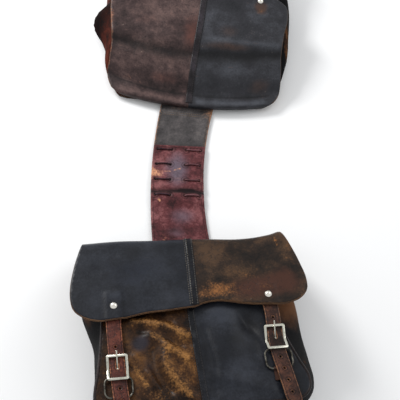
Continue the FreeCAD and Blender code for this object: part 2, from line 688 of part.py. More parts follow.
def make_prong(bag, side, sign):
    name = f"{bag}_{side}_buckle_prong"
    buckle, middle = f"layout.{side}_buckle", f"{sign} * layout.strap_x"
    eye_place = (f"{middle} - sizes.prong_eye / 2", buckle, "layout.bar_level")
    eye = cylinder(name + "_eye", "layout.eye_radius", "sizes.prong_eye", eye_place, ACROSS)
    hole = cylinder(name + "_hole", "layout.eye_hole", "sizes.prong_eye", eye_place, ACROSS)
    root = "(layout.eye_hole + sizes.prong_wire / 4)"
    shank = cylinder(name + "_shank", "sizes.prong_wire / 2", f"layout.prong_length - {root}",
                     (middle, f"{buckle} - {root} * cos(layout.prong_rise)",
                      f"layout.bar_level + {root} * sin(layout.prong_rise)"),
                     Rotation(Vector(1, 0, 0), QUARTER))
    shank.setExpression("Placement.Rotation.Angle", "90 - layout.prong_rise")
    tip = sphere(name + "_tip", "sizes.prong_wire / 2",
                 (middle, f"{buckle} - layout.prong_length * cos(layout.prong_rise)",
                  "layout.bar_level + layout.prong_length * sin(layout.prong_rise)"))
    finish(cut(name, fuse(name + "_solid", [eye, shank, tip]), hole), name, front_placement(bag))


def make_strap(bag, side, sign):
    name = f"{bag}_{side}_strap"
    body = new_body(name)
    buckle, middle = f"layout.{side}_buckle", f"{sign} * layout.strap_x"
    half, corner = "sizes.strap_width / 2", "sizes.strap_width / 4"
    start, end = f"layout.{bag}_strap_start", f"layout.{side}_strap_end"
    sketch = sketch_on(body, "XY_Plane", "layout.strap_level")
    add_outline(sketch, [
        (f"{middle} - {corner}", start), (f"{middle} + {corner}", start),
        (f"{middle} + {half}", f"{start} + {corner}"), (f"{middle} + {half}", f"{end} - {half}"),
        (f"{middle} + {corner}", end), (f"{middle} - {corner}", end),
        (f"{middle} - {half}", f"{end} - {half}"), (f"{middle} - {half}", f"{start} + {corner}"),
    ])
    add_pad(body, sketch, "sizes.strap_leather")
    punch = sketch_on(body, "XY_Plane")
    for step in STRAP_HOLES[side]:
        add_circle(punch, middle, f"{buckle} + {step} * sizes.hole_pitch", "sizes.strap_hole / 2")
    slot = "(sizes.prong_wire / 2 + sizes.prong_clearance)"
    add_rectangle(punch, f"{middle} - {slot}", f"{buckle} - layout.slot_end",
                  f"{middle} + {slot}", f"{buckle} + sizes.prong_wire")
    add_pocket(body, punch)
    finish(body, name, front_placement(bag))


def make_snap_stud(bag, side, sign):
    name = f"{bag}_{side}_snap_stud"
    x, y = f"{sign} * layout.strap_x", f"layout.{bag}_snap"
    flange = cylinder(name + "_flange", "sizes.stud_flange", "sizes.stud_flange_depth",
                      (x, y, "layout.strap_top"))
    post = cylinder(name + "_post", "sizes.stud_radius", "layout.stud_top - layout.strap_top",
                    (x, y, "layout.strap_top"))
    finish(fuse(name, [flange, post]), name, front_placement(bag))


# ---------------------------------------------------------------- yoke

def trim_yoke_end(body, bag):
    """Cut the end of a yoke strap parallel to the fold seam of its bag."""
    way = "-1" if bag == "near" else "1"
    end = f"{way} * (sizes.yoke_length / 2 - sizes.yoke_end_gap)"
    beyond = f"{way} * sizes.yoke_length"
    slant = f"sizes.yoke_width * tan(sizes.{bag}_turn)"
    sketch = sketch_on(body, "XY_Plane")
    add_outline(sketch, [
        (f"sizes.{bag}_shift - sizes.yoke_width", f"{end} - {slant}"),
        (f"sizes.{bag}_shift + sizes.yoke_width", f"{end} + {slant}"),
        (f"sizes.{bag}_shift + sizes.yoke_width", beyond),
        (f"sizes.{bag}_shift - sizes.yoke_width", beyond),
    ])
    add_pocket(body, sketch)


def punch_lace_holes(body):
    """Punch every row of lace holes."""
    sketch = sketch_on(body, "XY_Plane")
    for row in range(LACE_ROWS):
        y = f"sizes.lace_first - {row} * sizes.lace_pitch"
        for column in ("-sizes.lace_outer", "-sizes.lace_inner", "sizes.lace_inner", "sizes.lace_outer"):
            add_circle(sketch, column, y, "layout.lace_hole")
    add_pocket(body, sketch)


def make_yoke_near_strap():
    """The upper strap: it lies on the far strap and steps down beyond its end."""
    body = new_body("yoke_near_strap")
    sketch = sketch_on(body, "YZ_Plane")
    low, high, leather = "layout.lower_level", "layout.upper_level", "sizes.yoke_leather"
    step_top = "-(sizes.lap_near_end + sizes.yoke_lift)"
    step_foot = f"{step_top} - sizes.step_length"
    end = "-(sizes.yoke_length / 2 + sizes.yoke_width)"
    add_outline(sketch, [
        (end, low), (step_foot, low), (step_top, high), ("sizes.lap_far_end", high),
        ("sizes.lap_far_end", f"{high} + {leather}"), (step_top, f"{high} + {leather}"),
        (step_foot, f"{low} + {leather}"), (end, f"{low} + {leather}"),
    ])
    add_pad(body, sketch, "sizes.yoke_width", both_ways=True)
    trim_yoke_end(body, "near")
    punch_lace_holes(body)
    finish(body, "yoke_near_strap", Placement())


def make_yoke_far_strap():
    """The lower strap, flat from the far bag to its end under the near strap."""
    body = new_body("yoke_far_strap")
    sketch = sketch_on(body, "XY_Plane", "layout.lower_level")
    half = "sizes.yoke_width / 2"
    add_rectangle(sketch, f"-{half}", "-sizes.lap_near_end", half, "sizes.yoke_length / 2 + sizes.yoke_width")
    add_pad(body, sketch, "sizes.yoke_leather")
    trim_yoke_end(body, "far")
    punch_lace_holes(body)
    finish(body, "yoke_far_strap", Placement())


def lace_route(sign):
    """Corners of one lace: across the top of each row, then under the straps to the next row."""
    route = []
    for row in range(LACE_ROWS):
        y = f"(sizes.lace_first - {row} * sizes.lace_pitch)"
        across = ["sizes.lace_outer", "sizes.lace_inner"]
        if row % 2:
            across.reverse()
        first, last = (f"{sign} * {column}" for column in across)
        route += [(first, y, "layout.lace_low"), (first, y, "layout.lace_high"),
                  (last, y, "layout.lace_high"), (last, y, "layout.lace_low")]
    return route


def make_yoke_lace(side, sign):
    name = f"yoke_lace_{side}"
    solids = []
    route = lace_route(sign)
    for number, (start, end) in enumerate(zip(route, route[1:])):
        changed = [axis for axis in range(3) if start[axis] != end[axis]]
        axis = changed[0]
        rotation = (ACROSS, ALONG, None)[axis]
        span = f"({end[axis]} - {start[axis]})"
        low = list(start)
        low[axis] = f"min({start[axis]}; {end[axis]})"
        solids.append(cylinder(f"{name}_run{number}", "layout.lace_radius", f"abs{span}", low, rotation))
    for number, corner in enumerate(route):
        solids.append(sphere(f"{name}_bend{number}", "layout.lace_radius", corner))
    finish(fuse(name, solids), name, Placement())


# ---------------------------------------------------------------- assembly

def make_bag(bag):
    """Every piece of one bag."""
    make_back_panel(bag)
    make_gusset_bottom(bag)
    make_front_seam_strip(bag)
    make_front_welt(bag)
    make_flap_lining(bag)
    make_flap_seam_strip(bag)
    make_snap_caps(bag)
    make_snap_sockets(bag)
    make_ring_tabs(bag)
    make_tab_rivets(bag)
    for side, sign in SIDES:
        make_gusset_side(bag, side, sign)
        make_front_half(bag, side, sign)
        make_flap_half(bag, side, sign)
        make_ring(bag, side, sign)
        make_chape(bag, side, sign)
        make_buckle_frame(bag, side, sign)
        make_prong(bag, side, sign)
        make_strap(bag, side, sign)
        make_snap_stud(bag, side, sign)


def make_yoke():
    """The two straps between the bags and their laces."""
    make_yoke_near_strap()
    make_yoke_far_strap()
    for side, sign in (("left", "-1"), ("right", "1")):
        make_yoke_lace(side, sign)


def centre_assembly():
    """Shift every piece along X and Y, so that the whole is centred on the origin."""
    whole = FreeCAD.BoundBox()
    for piece in pieces:
        whole.add(piece.Shape.BoundBox)
    shift = Placement(Vector(-whole.Center.x, -whole.Center.y, 0), Rotation())
    for piece in pieces:
        piece.Placement = shift.multiply(piece.Placement)
    document.recompute()
    print("shift", -whole.Center.x, -whole.Center.y)


def check_document():
    """Stop if any object failed or any finished piece has no valid solid."""
    for item in document.Objects:
        if "Invalid" in item.State or "Error" in item.State:
            raise RuntimeError(item.Label + ": " + ", ".join(item.State))
    for piece in pieces:
        if piece.Shape.isNull() or not piece.Shape.isValid() or not piece.Shape.Solids:
            raise RuntimeError(piece.Label + ": no valid solid")


def write_parts():
    """Write one STEP file for each piece."""
    os.makedirs("parts", exist_ok=True)
    for piece in pieces:
        piece.Shape.exportStep("parts/" + piece.Label + ".step")


fill_sheet()
document.recompute()
derive_levels()
derive_closure()
for bag_name in BAGS:
    derive_bag(bag_name)
document.recompute()
make_yoke()
for bag_name in BAGS:
    make_bag(bag_name)
document.recompute()
centre_assembly()
check_document()
write_parts()
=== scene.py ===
"""A pair of throw-over leather saddlebags, joined by a laced yoke and lying on their backs.

Lengths are in millimetres until a mesh is made, and in metres from there on.
"""

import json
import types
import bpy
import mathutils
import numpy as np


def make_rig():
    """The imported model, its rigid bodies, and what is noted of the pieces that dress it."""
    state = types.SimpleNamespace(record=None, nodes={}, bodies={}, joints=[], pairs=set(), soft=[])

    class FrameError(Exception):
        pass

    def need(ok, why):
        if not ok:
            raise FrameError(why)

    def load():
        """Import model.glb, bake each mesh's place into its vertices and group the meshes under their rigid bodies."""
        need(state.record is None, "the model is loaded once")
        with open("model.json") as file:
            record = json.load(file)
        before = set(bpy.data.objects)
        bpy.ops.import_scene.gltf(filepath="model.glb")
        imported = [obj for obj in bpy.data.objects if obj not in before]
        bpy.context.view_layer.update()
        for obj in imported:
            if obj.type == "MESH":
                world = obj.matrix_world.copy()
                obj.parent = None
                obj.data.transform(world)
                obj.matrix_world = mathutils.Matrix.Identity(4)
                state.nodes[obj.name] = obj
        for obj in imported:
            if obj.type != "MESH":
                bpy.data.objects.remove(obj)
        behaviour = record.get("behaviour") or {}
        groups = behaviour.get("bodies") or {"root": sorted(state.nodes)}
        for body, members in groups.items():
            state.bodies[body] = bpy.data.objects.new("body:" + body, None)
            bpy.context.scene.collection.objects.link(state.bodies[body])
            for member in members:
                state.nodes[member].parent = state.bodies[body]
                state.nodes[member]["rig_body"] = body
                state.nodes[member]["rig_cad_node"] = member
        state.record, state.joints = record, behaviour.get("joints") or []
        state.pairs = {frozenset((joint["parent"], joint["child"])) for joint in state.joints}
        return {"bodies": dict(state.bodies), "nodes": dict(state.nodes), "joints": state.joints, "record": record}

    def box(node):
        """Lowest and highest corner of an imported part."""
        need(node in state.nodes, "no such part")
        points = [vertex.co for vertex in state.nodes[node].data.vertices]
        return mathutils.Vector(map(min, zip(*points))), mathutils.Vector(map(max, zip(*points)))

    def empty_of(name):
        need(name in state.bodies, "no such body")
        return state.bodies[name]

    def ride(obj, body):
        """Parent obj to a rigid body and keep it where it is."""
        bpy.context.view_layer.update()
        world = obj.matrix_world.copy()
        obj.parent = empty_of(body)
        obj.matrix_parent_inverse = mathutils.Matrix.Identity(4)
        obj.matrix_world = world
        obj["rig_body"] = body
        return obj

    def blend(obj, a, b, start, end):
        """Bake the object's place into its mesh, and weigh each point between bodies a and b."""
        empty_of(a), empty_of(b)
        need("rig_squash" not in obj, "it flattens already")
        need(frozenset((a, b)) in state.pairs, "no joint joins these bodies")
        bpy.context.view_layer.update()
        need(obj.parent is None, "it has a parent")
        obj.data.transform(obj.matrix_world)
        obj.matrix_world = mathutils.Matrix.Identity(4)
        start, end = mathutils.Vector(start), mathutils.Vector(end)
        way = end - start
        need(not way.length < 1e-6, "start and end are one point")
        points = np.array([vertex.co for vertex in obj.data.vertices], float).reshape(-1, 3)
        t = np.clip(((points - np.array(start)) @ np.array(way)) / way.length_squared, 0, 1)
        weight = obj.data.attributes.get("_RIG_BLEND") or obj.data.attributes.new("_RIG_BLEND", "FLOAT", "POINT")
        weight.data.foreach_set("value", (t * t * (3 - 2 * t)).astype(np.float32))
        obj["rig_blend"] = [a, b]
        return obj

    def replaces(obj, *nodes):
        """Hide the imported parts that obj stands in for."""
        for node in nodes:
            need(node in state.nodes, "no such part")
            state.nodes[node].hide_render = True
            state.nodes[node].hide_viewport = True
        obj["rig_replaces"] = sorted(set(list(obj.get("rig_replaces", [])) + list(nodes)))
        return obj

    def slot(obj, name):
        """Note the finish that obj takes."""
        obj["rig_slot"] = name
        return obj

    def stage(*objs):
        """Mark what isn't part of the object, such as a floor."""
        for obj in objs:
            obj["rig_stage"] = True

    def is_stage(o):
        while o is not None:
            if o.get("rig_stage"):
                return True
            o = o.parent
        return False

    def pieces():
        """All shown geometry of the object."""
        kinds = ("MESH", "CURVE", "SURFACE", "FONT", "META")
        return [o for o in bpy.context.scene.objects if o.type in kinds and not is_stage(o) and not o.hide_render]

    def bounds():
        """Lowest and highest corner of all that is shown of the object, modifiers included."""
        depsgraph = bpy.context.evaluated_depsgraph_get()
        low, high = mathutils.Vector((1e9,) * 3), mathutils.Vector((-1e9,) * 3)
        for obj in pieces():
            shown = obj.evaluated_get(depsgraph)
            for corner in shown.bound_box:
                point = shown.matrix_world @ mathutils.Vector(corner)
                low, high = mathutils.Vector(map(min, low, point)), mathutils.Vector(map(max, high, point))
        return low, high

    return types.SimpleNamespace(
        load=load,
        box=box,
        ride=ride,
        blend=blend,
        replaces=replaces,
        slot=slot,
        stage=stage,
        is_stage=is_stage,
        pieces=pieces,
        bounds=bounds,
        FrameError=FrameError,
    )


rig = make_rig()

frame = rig.load()

import json
import logging
import math
from dataclasses import dataclass, field
from enum import Enum
from typing import Callable, Sequence

import bmesh
import bpy
import numpy as np
from mathutils import Matrix, Vector
from mathutils.geometry import delaunay_2d_cdt

CAD_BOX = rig.bounds()
LOG = logging.getLogger("saddlebags")
MM = 0.001
UP = np.array([0.0, 0.0, 1.0])
CUT_MAP = "cut"

Array = np.ndarray
Colour = tuple[float, float, float, float]
Point = tuple[float, float]
Run = Sequence[Point]
Surface = Callable[[Array, Array], Array]


def dye(code: str) -> Colour:
    """The linear colour of a dye written as six hexadecimal digits.

    Args:
        code: six hexadecimal digits.

    Returns:
        Red, green, blue and alpha.
    """
    parts = [int(code[place:place + 2], 16) / 255 for place in (0, 2, 4)]
    linear = [part / 12.92 if part <= 0.04045 else ((part + 0.055) / 1.055) ** 2.4 for part in parts]
    return (*linear, 1.0)


def ease(value: Array, low: float, high: float) -> Array:
    """A smooth step from 0 at low to 1 at high."""
    share = np.clip((value - low) / (high - low), 0.0, 1.0)
    return share * share * (3.0 - 2.0 * share)


def through(value: Array, knots: Sequence[Point]) -> Array:
    """Read a smooth curve through knots.

    Args:
        value: places along the curve.
        knots: pairs of place and level, in rising order.

    Returns:
        The level at each place, held beyond the end knots.
    """
    at = np.array([knot[0] for knot in knots], float)
    level = np.array([knot[1] for knot in knots], float)
    slope = np.gradient(level, at)
    value = np.clip(np.asarray(value, float), at[0], at[-1])
    cell = np.clip(np.searchsorted(at, value, side="right") - 1, 0, len(at) - 2)
    span = at[cell + 1] - at[cell]
    t = (value - at[cell]) / span
    start = (2 * t**3 - 3 * t**2 + 1) * level[cell] + (t**3 - 2 * t**2 + t) * span * slope[cell]
    end = (3 * t**2 - 2 * t**3) * level[cell + 1] + (t**3 - t**2) * span * slope[cell + 1]
    return start + end


def resample(line: Array, spacing: float) -> Array:
    """Even points along an open line, both ends kept.

    Args:
        line: a line of points.
        spacing: the distance between points.

    Returns:
        The new points, one row each.
    """
    steps = np.linalg.norm(np.diff(line, axis=0), axis=1)
    along = np.concatenate([[0.0], np.cumsum(steps)])
    count = max(2, int(round(along[-1] / spacing)) + 1)
    wanted = np.linspace(0.0, along[-1], count)
    return np.stack([np.interp(wanted, along, line[:, axis]) for axis in range(line.shape[1])], axis=1)


def smooth_run(run: Sequence[Sequence[float]], spacing: float) -> Array:
    """Even points on a smooth open curve through the points of a run.

    Args:
        run: the points, in two or three dimensions.
        spacing: the distance between the new points.

    Returns:
        The new points, one row each.
    """
    points = np.array(run, float)
    if len(points) < 3:
        return resample(points, spacing)
    steps = np.maximum(np.linalg.norm(np.diff(points, axis=0), axis=1), 1e-6)
    along = np.concatenate([[0.0], np.cumsum(steps)])
    fine = np.linspace(0.0, along[-1], 40 * len(points))
    columns = [through(fine, list(zip(along, points[:, axis]))) for axis in range(points.shape[1])]
    return resample(np.stack(columns, axis=1), spacing)


def closed_loop(runs: Sequence[Run], spacing: float) -> Array:
    """Join smooth runs end to end into one closed loop, with a sharp corner at each joint."""
    parts = [smooth_run(run, spacing)[:-1] for run in runs]
    return np.concatenate(parts)


def clockwise(loop: Array) -> bool:
    """Whether a flat loop turns clockwise."""
    after = np.roll(loop, -1, axis=0)
    return float(np.sum(loop[:, 0] * after[:, 1] - after[:, 0] * loop[:, 1])) < 0


def inset(loop: Array, distance: float) -> Array:
    """Move a loop's points inwards by a distance; a hole is given with a negative distance.

    Args:
        loop: a closed loop of flat points.
        distance: how far inwards.

    Returns:
        The moved loop.
    """
    ahead, behind = np.roll(loop, -1, axis=0), np.roll(loop, 1, axis=0)
    tangent = ahead - behind
    tangent /= np.maximum(np.linalg.norm(tangent, axis=1, keepdims=True), 1e-9)
    normal = np.stack([-tangent[:, 1], tangent[:, 0]], axis=1)
    side = -1.0 if clockwise(loop) else 1.0
    return loop + normal * side * distance


def inside(points: Array, loop: Array) -> Array:
    """Which flat points lie inside a loop.

    Args:
        points: flat points.
        loop: a closed loop of flat points.

    Returns:
        True for each point inside.
    """
    x, y = points[:, :1], points[:, 1:]
    ax, ay = loop[:, 0][None], loop[:, 1][None]
    bx, by = np.roll(loop[:, 0], -1)[None], np.roll(loop[:, 1], -1)[None]
    rise = np.where(by == ay, 1e-12, by - ay)
    crosses = ((ay > y) != (by > y)) & (x < (bx - ax) * (y - ay) / rise + ax)
    return np.sum(crosses, axis=1) % 2 == 1


def gap_to(points: Array, line: Array, closed: bool) -> Array:
    """The distance from each flat point to a line of points.

    Args:
        points: flat points.
        line: a line of points.
        closed: whether the line's ends meet.

    Returns:
        The distances.
    """
    start = line if closed else line[:-1]
    end = np.roll(line, -1, axis=0) if closed else line[1:]
    run = (end - start)[None]
    off = points[:, None] - start[None]
    share = np.clip(np.sum(off * run, axis=2) / np.maximum(np.sum(run * run, axis=2), 1e-9), 0.0, 1.0)
    return np.min(np.linalg.norm(off - share[..., None] * run, axis=2), axis=1)


# ---------------------------------------------------------------- shader arithmetic


class Value:
    """A number that varies over a surface; arithmetic on it adds Math nodes."""

    def __init__(self, recipe: "Recipe", socket: bpy.types.NodeSocket) -> None:
        """Wrap the output socket of a node."""
        self.recipe = recipe
        self.socket = socket

    def _math(self, operation: str, *others: "Value | float", clamp: bool = False) -> "Value":
        """Add one Math node that takes this value and the others in order."""
        return self.recipe.math(operation, self, *others, clamp=clamp)

    def __add__(self, other: "Value | float") -> "Value":
        """This value and another, added."""
        return self._math("ADD", other)

    __radd__ = __add__

    def __sub__(self, other: "Value | float") -> "Value":
        """Another value taken from this one."""
        return self._math("SUBTRACT", other)

    def __rsub__(self, other: float) -> "Value":
        """This value taken from a number."""
        return self.recipe.math("SUBTRACT", other, self)

    def __mul__(self, other: "Value | float") -> "Value":
        """This value times another."""
        return self._math("MULTIPLY", other)

    __rmul__ = __mul__

    def __abs__(self) -> "Value":
        """This value without its sign."""
        return self._math("ABSOLUTE")

    def clamped(self) -> "Value":
        """This value held between 0 and 1."""
        return self._math("ADD", 0.0, clamp=True)

    def step(self, low: float, high: float) -> "Value":
        """A smooth step from 0 at low to 1 at high.

        Args:
            low: the value that gives 0.
            high: the value that gives 1.

        Returns:
            The step.
        """
        ranges = {"From Min": low, "From Max": high, "To Min": 0.0, "To Max": 1.0, "Value": self}
        node = self.recipe.node("ShaderNodeMapRange", {"interpolation_type": "SMOOTHSTEP"}, ranges)
        return Value(self.recipe, node.outputs["Result"])


class Recipe:
    """One material under construction: a Principled shader and the nodes that feed it."""

    def __init__(self, name: str) -> None:
        """Start an empty material.

        Args:
            name: the name.
        """
        self.material = bpy.data.materials.new(name)
        self.material.use_nodes = True
        self.tree = self.material.node_tree
        self.tree.nodes.clear()
        output = self.tree.nodes.new("ShaderNodeOutputMaterial")
        self.shader = self.tree.nodes.new("ShaderNodeBsdfPrincipled")
        self.tree.links.new(self.shader.outputs["BSDF"], output.inputs["Surface"])

    def node(self, kind: str, settings: dict | None = None, inputs: dict | None = None) -> bpy.types.Node:
        """Add any node.

        Args:
            kind: the node's type.
            settings: its properties, set first; "stops" holds a ramp's places and colours.
            inputs: values, colours or sockets for its inputs, by name or number.

        Returns:
            The new node.
        """
        node = self.tree.nodes.new(kind)
        for key, setting in (settings or {}).items():
            if key == "stops":
                self._set_stops(node.color_ramp, setting)
            else:
                setattr(node, key, setting)
        for key, value in (inputs or {}).items():
            self.feed(node.inputs[key], value)
        return node

    @staticmethod
    def _set_stops(ramp: bpy.types.ColorRamp, stops: Sequence[tuple[float, Colour]]) -> None:
        """Give a colour ramp its stops.

        Args:
            ramp: the ramp.
            stops: places and colours.
        """
        while len(ramp.elements) < len(stops):
            ramp.elements.new(1.0)
        for element, (place, colour) in zip(ramp.elements, stops):
            element.position = place
            element.color = colour

    def feed(self, socket: bpy.types.NodeSocket, value: object) -> None:
        """Link a value or socket to an input, or set the input to a constant.

        Args:
            socket: the input.
            value: a value, a socket or a constant.
        """
        if isinstance(value, Value):
            value = value.socket
        if isinstance(value, bpy.types.NodeSocket):
            self.tree.links.new(value, socket)
        else:
            socket.default_value = value

    def math(self, operation: str, *values: "Value | float", clamp: bool = False) -> Value:
        """Add a Math node."""
        settings = {"operation": operation, "use_clamp": clamp}
        return Value(self, self.node("ShaderNodeMath", settings, dict(enumerate(values))).outputs[0])

    def attribute(self, name: str) -> Value:
        """Read a number stored on the mesh's points."""
        return Value(self, self.node("ShaderNodeAttribute", {"attribute_name": name}).outputs["Fac"])

    def noise(self, place: bpy.types.NodeSocket, scale: float, detail: float, roughness: float) -> Value:
        """Fractal noise, about 0.3 to 0.7."""
        inputs = {"Vector": place, "Scale": scale, "Detail": detail, "Roughness": roughness}
        return Value(self, self.node("ShaderNodeTexNoise", None, inputs).outputs[0])

    def cells(self, place: bpy.types.NodeSocket, scale: float) -> Value:
        """The distance to the nearest cell centre, 0 at the centre."""
        node = self.node("ShaderNodeTexVoronoi", None, {"Vector": place, "Scale": scale})
        return Value(self, node.outputs["Distance"])

    def mapped(self, place: bpy.types.NodeSocket, scale: tuple, turn: float) -> bpy.types.NodeSocket:
        """Coordinates turned about Z by degrees and stretched."""
        inputs = {"Vector": place, "Rotation": (0.0, 0.0, math.radians(turn)), "Scale": scale}
        return self.node("ShaderNodeMapping", None, inputs).outputs[0]

    def ramp(self, value: Value, stops: Sequence[tuple[float, Colour]]) -> bpy.types.NodeSocket:
        """Colour a value by a ramp."""
        return self.node("ShaderNodeValToRGB", {"stops": stops}, {0: value}).outputs["Color"]

    def mix(self, share: "Value | float", under: object, over: object,
            blend: str = "MIX") -> bpy.types.NodeSocket:
        """Blend two colours."""
        settings = {"data_type": "RGBA", "blend_type": blend}
        return self.node("ShaderNodeMix", settings, {0: share, 6: under, 7: over}).outputs[2]

    def finish(self, colour: object, roughness: "Value | float", height: Value | None = None,
               depth: float = 0.0003, **constants: float) -> bpy.types.Material:
        """Feed the shader and hand over the material.

        Args:
            colour: the base colour.
            roughness: the roughness.
            height: the relief, from about 0 to 1.
            depth: how far a height of 1 stands, in metres.
            constants: numbers for other inputs, spaces written as underscores.

        Returns:
            The finished material.
        """
        self.feed(self.shader.inputs["Base Color"], colour)
        self.feed(self.shader.inputs["Roughness"], roughness)
        if height is not None:
            bump = self.node("ShaderNodeBump", None, {"Height": height, "Distance": depth, "Strength": 1.0})
            self.feed(self.shader.inputs["Normal"], bump.outputs[0])
        for key, value in constants.items():
            self.shader.inputs[key.replace("_", " ")].default_value = value
        return self.material


# ---------------------------------------------------------------- finishes


class Lay(Enum):
    """How a pattern lies on a piece: over its cut shape, or through its solid."""

    CUT = "cut"
    SOLID = "solid"


def lay_of(recipe: Recipe, lay: Lay, seed: float) -> bpy.types.NodeSocket:
    """Coordinates for a pattern, moved by a seed so that no two finishes match.

    Args:
        recipe: the material under construction.
        lay: how the pattern lies.
        seed: how far to move the pattern.

    Returns:
        The moved coordinates.
    """
    if lay is Lay.CUT:
        source = recipe.node("ShaderNodeUVMap", {"uv_map": CUT_MAP}).outputs[0]
    else:
        source = recipe.node("ShaderNodeTexCoord").outputs["Object"]
    shift = (seed, seed * 0.7, seed * 0.3)
    return recipe.node("ShaderNodeVectorMath", {"operation": "ADD"}, {0: source, 1: shift}).outputs[0]


@dataclass(frozen=True)
class Leather:
    """Old dyed leather: cloudy dye, pebbled grain, creases, scuffs and rubbed borders, with painted highlights and
    painted shade from the mesh's marks.
    """

    name: str
    deep: str
    body: str
    high: str
    rub: str
    tint: str
    seed: float = 0.0
    gloss: float = 0.5
    scuffs: float = 0.0
    crackle: float = 1.0
    border: float = 0.35
    tooling: float = 0.0
    specks: float = 0.0
    contrast: float = 1.0
    shine: float = 0.2
    lay: Lay = Lay.CUT

    def make(self) -> bpy.types.Material:
        """Mix the finish from its dyes, its wear, and the painted highlights and painted shade stored on the mesh.

        Returns:
            The material.
        """
        r = Recipe(self.name)
        place = lay_of(r, self.lay, self.seed)
        cloud = r.noise(place, 13.0, 4.0, 0.55)
        blot = r.noise(place, 55.0, 5.0, 0.65)
        fine = r.noise(place, 330.0, 5.0, 0.7)
        pebble = r.cells(place, 620.0)
        warp = {"Vector": place, "Scale": 40.0, "Distortion": 1.2}
        warped = r.node("ShaderNodeTexNoise", None, warp).outputs[1]
        bent = r.node("ShaderNodeMix", {"data_type": "VECTOR"}, {0: 0.02, 4: place, 5: warped}).outputs[1]
        ridge = abs(r.noise(bent, 95.0, 3.0, 0.5) - 0.5)
        crease = (1.0 - ridge.step(0.0, 0.035)) * cloud.step(0.4, 0.62) * self.crackle
        scrape = r.noise(r.mapped(place, (22.0, 420.0, 22.0), 24.0), 1.0, 3.0, 0.6).step(0.67, 0.72)
        # light lifts the tone: painted highlights and painted sheen, and lighter patches of the leather.
        light, wear = r.attribute("light"), r.attribute("wear")
        tone = (cloud - 0.5) * 1.1 + (blot - 0.5) * 0.9 + (fine - 0.5) * 0.6
        tone = (tone * self.contrast + light * 0.45 + 0.5).clamped()
        colour = r.ramp(tone, [(0.2, dye(self.deep)), (0.5, dye(self.body)), (0.82, dye(self.high))])
        tinted = (r.attribute("tint") + (cloud - 0.5) * 0.6 + (blot - 0.5) * 0.5).step(0.25, 0.85)
        colour = r.mix(tinted, colour, dye(self.tint))
        rubbed = wear + (fine - 0.5) * 1.3 + (blot - 0.5) * 0.9 + self.scuffs
        height = fine * 0.35 + pebble * 0.25 - crease * 0.45
        if self.lay is Lay.CUT:
            edge = r.attribute("edge")
            rubbed = rubbed + (1.0 - edge.step(0.3, 2.4)) * self.border
            if self.tooling:
                groove = 1.0 - abs(edge - self.tooling).step(0.15, 0.55)
                height = height - groove * 1.6
                colour = r.mix(groove * 0.7, colour, dye(self.deep), "MULTIPLY")
        worn = rubbed.step(0.22, 0.95)
        bright = dye(self.rub)
        pale = tuple(min(1.0, part * 1.45) for part in bright[:3]) + (1.0,)
        rub = r.ramp(fine * 0.6 + blot * 0.4, [(0.38, dye(self.high)), (0.5, bright), (0.64, pale)])
        colour = r.mix(worn * 0.85, colour, rub)
        colour = r.mix(crease * 0.55, colour, dye(self.deep))
        colour = r.mix(scrape * blot.step(0.5, 0.6) * 0.3, colour, dye(self.rub))
        if self.specks:
            speck = (1.0 - r.cells(place, 70.0).step(0.03, 0.075)) * blot.step(0.52, 0.58) * self.specks
            colour = r.mix(speck, colour, dye("c9bba8"))
        # dark pulls the colour to near black: painted shade and painted shadow in hollows, creases, lace holes, round
        # the caps and under the flap's edge, and darker patches of the leather.
        colour = r.mix(r.attribute("dark").clamped() * 0.92, colour, dye("060506"))
        roughness = (worn * 0.2 + (fine - 0.5) * 0.4 + (cloud - 0.5) * 0.3 + self.gloss).clamped()
        return r.finish(colour, roughness, height, 0.0003, Specular_IOR_Level=self.shine)


@dataclass(frozen=True)
class Suede:
    """The flesh side of leather: matt, napped and stained."""

    name: str
    body: str
    stain: str
    seed: float = 0.0

    def make(self) -> bpy.types.Material:
        """Mix the nap and its stains.

        Returns:
            The material.
        """
        r = Recipe(self.name)
        place = lay_of(r, Lay.CUT, self.seed)
        nap = r.noise(r.mapped(place, (1.0, 2.2, 1.0), 15.0), 700.0, 4.0, 0.75)
        stain = r.noise(place, 22.0, 5.0, 0.6)
        shade = (stain * 0.7 + nap * 0.6 - 0.15).clamped()
        colour = r.ramp(shade, [(0.3, dye(self.stain)), (0.62, dye(self.body))])
        return r.finish(colour, (nap * 0.15 + 0.82).clamped(), nap, 0.0004, Specular_IOR_Level=0.2)


@dataclass(frozen=True)
class CutEdge:
    """The raw cut edge of leather: pale fibres, burnished dark in places."""

    name: str
    fibre: str
    burnish: str
    seed: float = 0.0
    dark_share: float = 0.0

    def make(self) -> bpy.types.Material:
        """Mix the fibres and the burnish.

        Returns:
            The material.
        """
        r = Recipe(self.name)
        place = lay_of(r, Lay.SOLID, self.seed)
        fibre = r.noise(r.mapped(place, (1.0, 1.0, 5.0), 0.0), 380.0, 4.0, 0.7)
        patch = r.noise(place, 45.0, 4.0, 0.6)
        share = (patch * 0.9 + fibre * 0.6 - 0.25 - self.dark_share).clamped()
        colour = r.ramp(share, [(0.28, dye(self.burnish)), (0.6, dye(self.fibre))])
        return r.finish(colour, (fibre * 0.2 + 0.68).clamped(), fibre, 0.0003, Specular_IOR_Level=0.25)


@dataclass(frozen=True)
class Metal:
    """Plated or bare metal with tarnish, fine scratches and worn spots."""

    name: str
    bright: str
    tarnish: str
    polish: float
    spread: float

    def make(self) -> bpy.types.Material:
        """Mix the metal and its tarnish.

        Returns:
            The material.
        """
        r = Recipe(self.name)
        place = lay_of(r, Lay.SOLID, 0.3)
        patch = r.noise(place, 160.0, 5.0, 0.65)
        scratch = r.noise(r.mapped(place, (260.0, 2600.0, 900.0), 20.0), 1.0, 3.0, 0.6)
        stain = (patch + (scratch - 0.5) * 0.5 + self.spread).step(0.45, 0.7)
        colour = r.mix(stain, dye(self.bright), dye(self.tarnish))
        roughness = (stain * 0.22 + (scratch - 0.5) * 0.25 + self.polish).clamped()
        return r.finish(colour, roughness, scratch * 0.6 + patch * 0.4, 0.00008, Metallic=1.0)


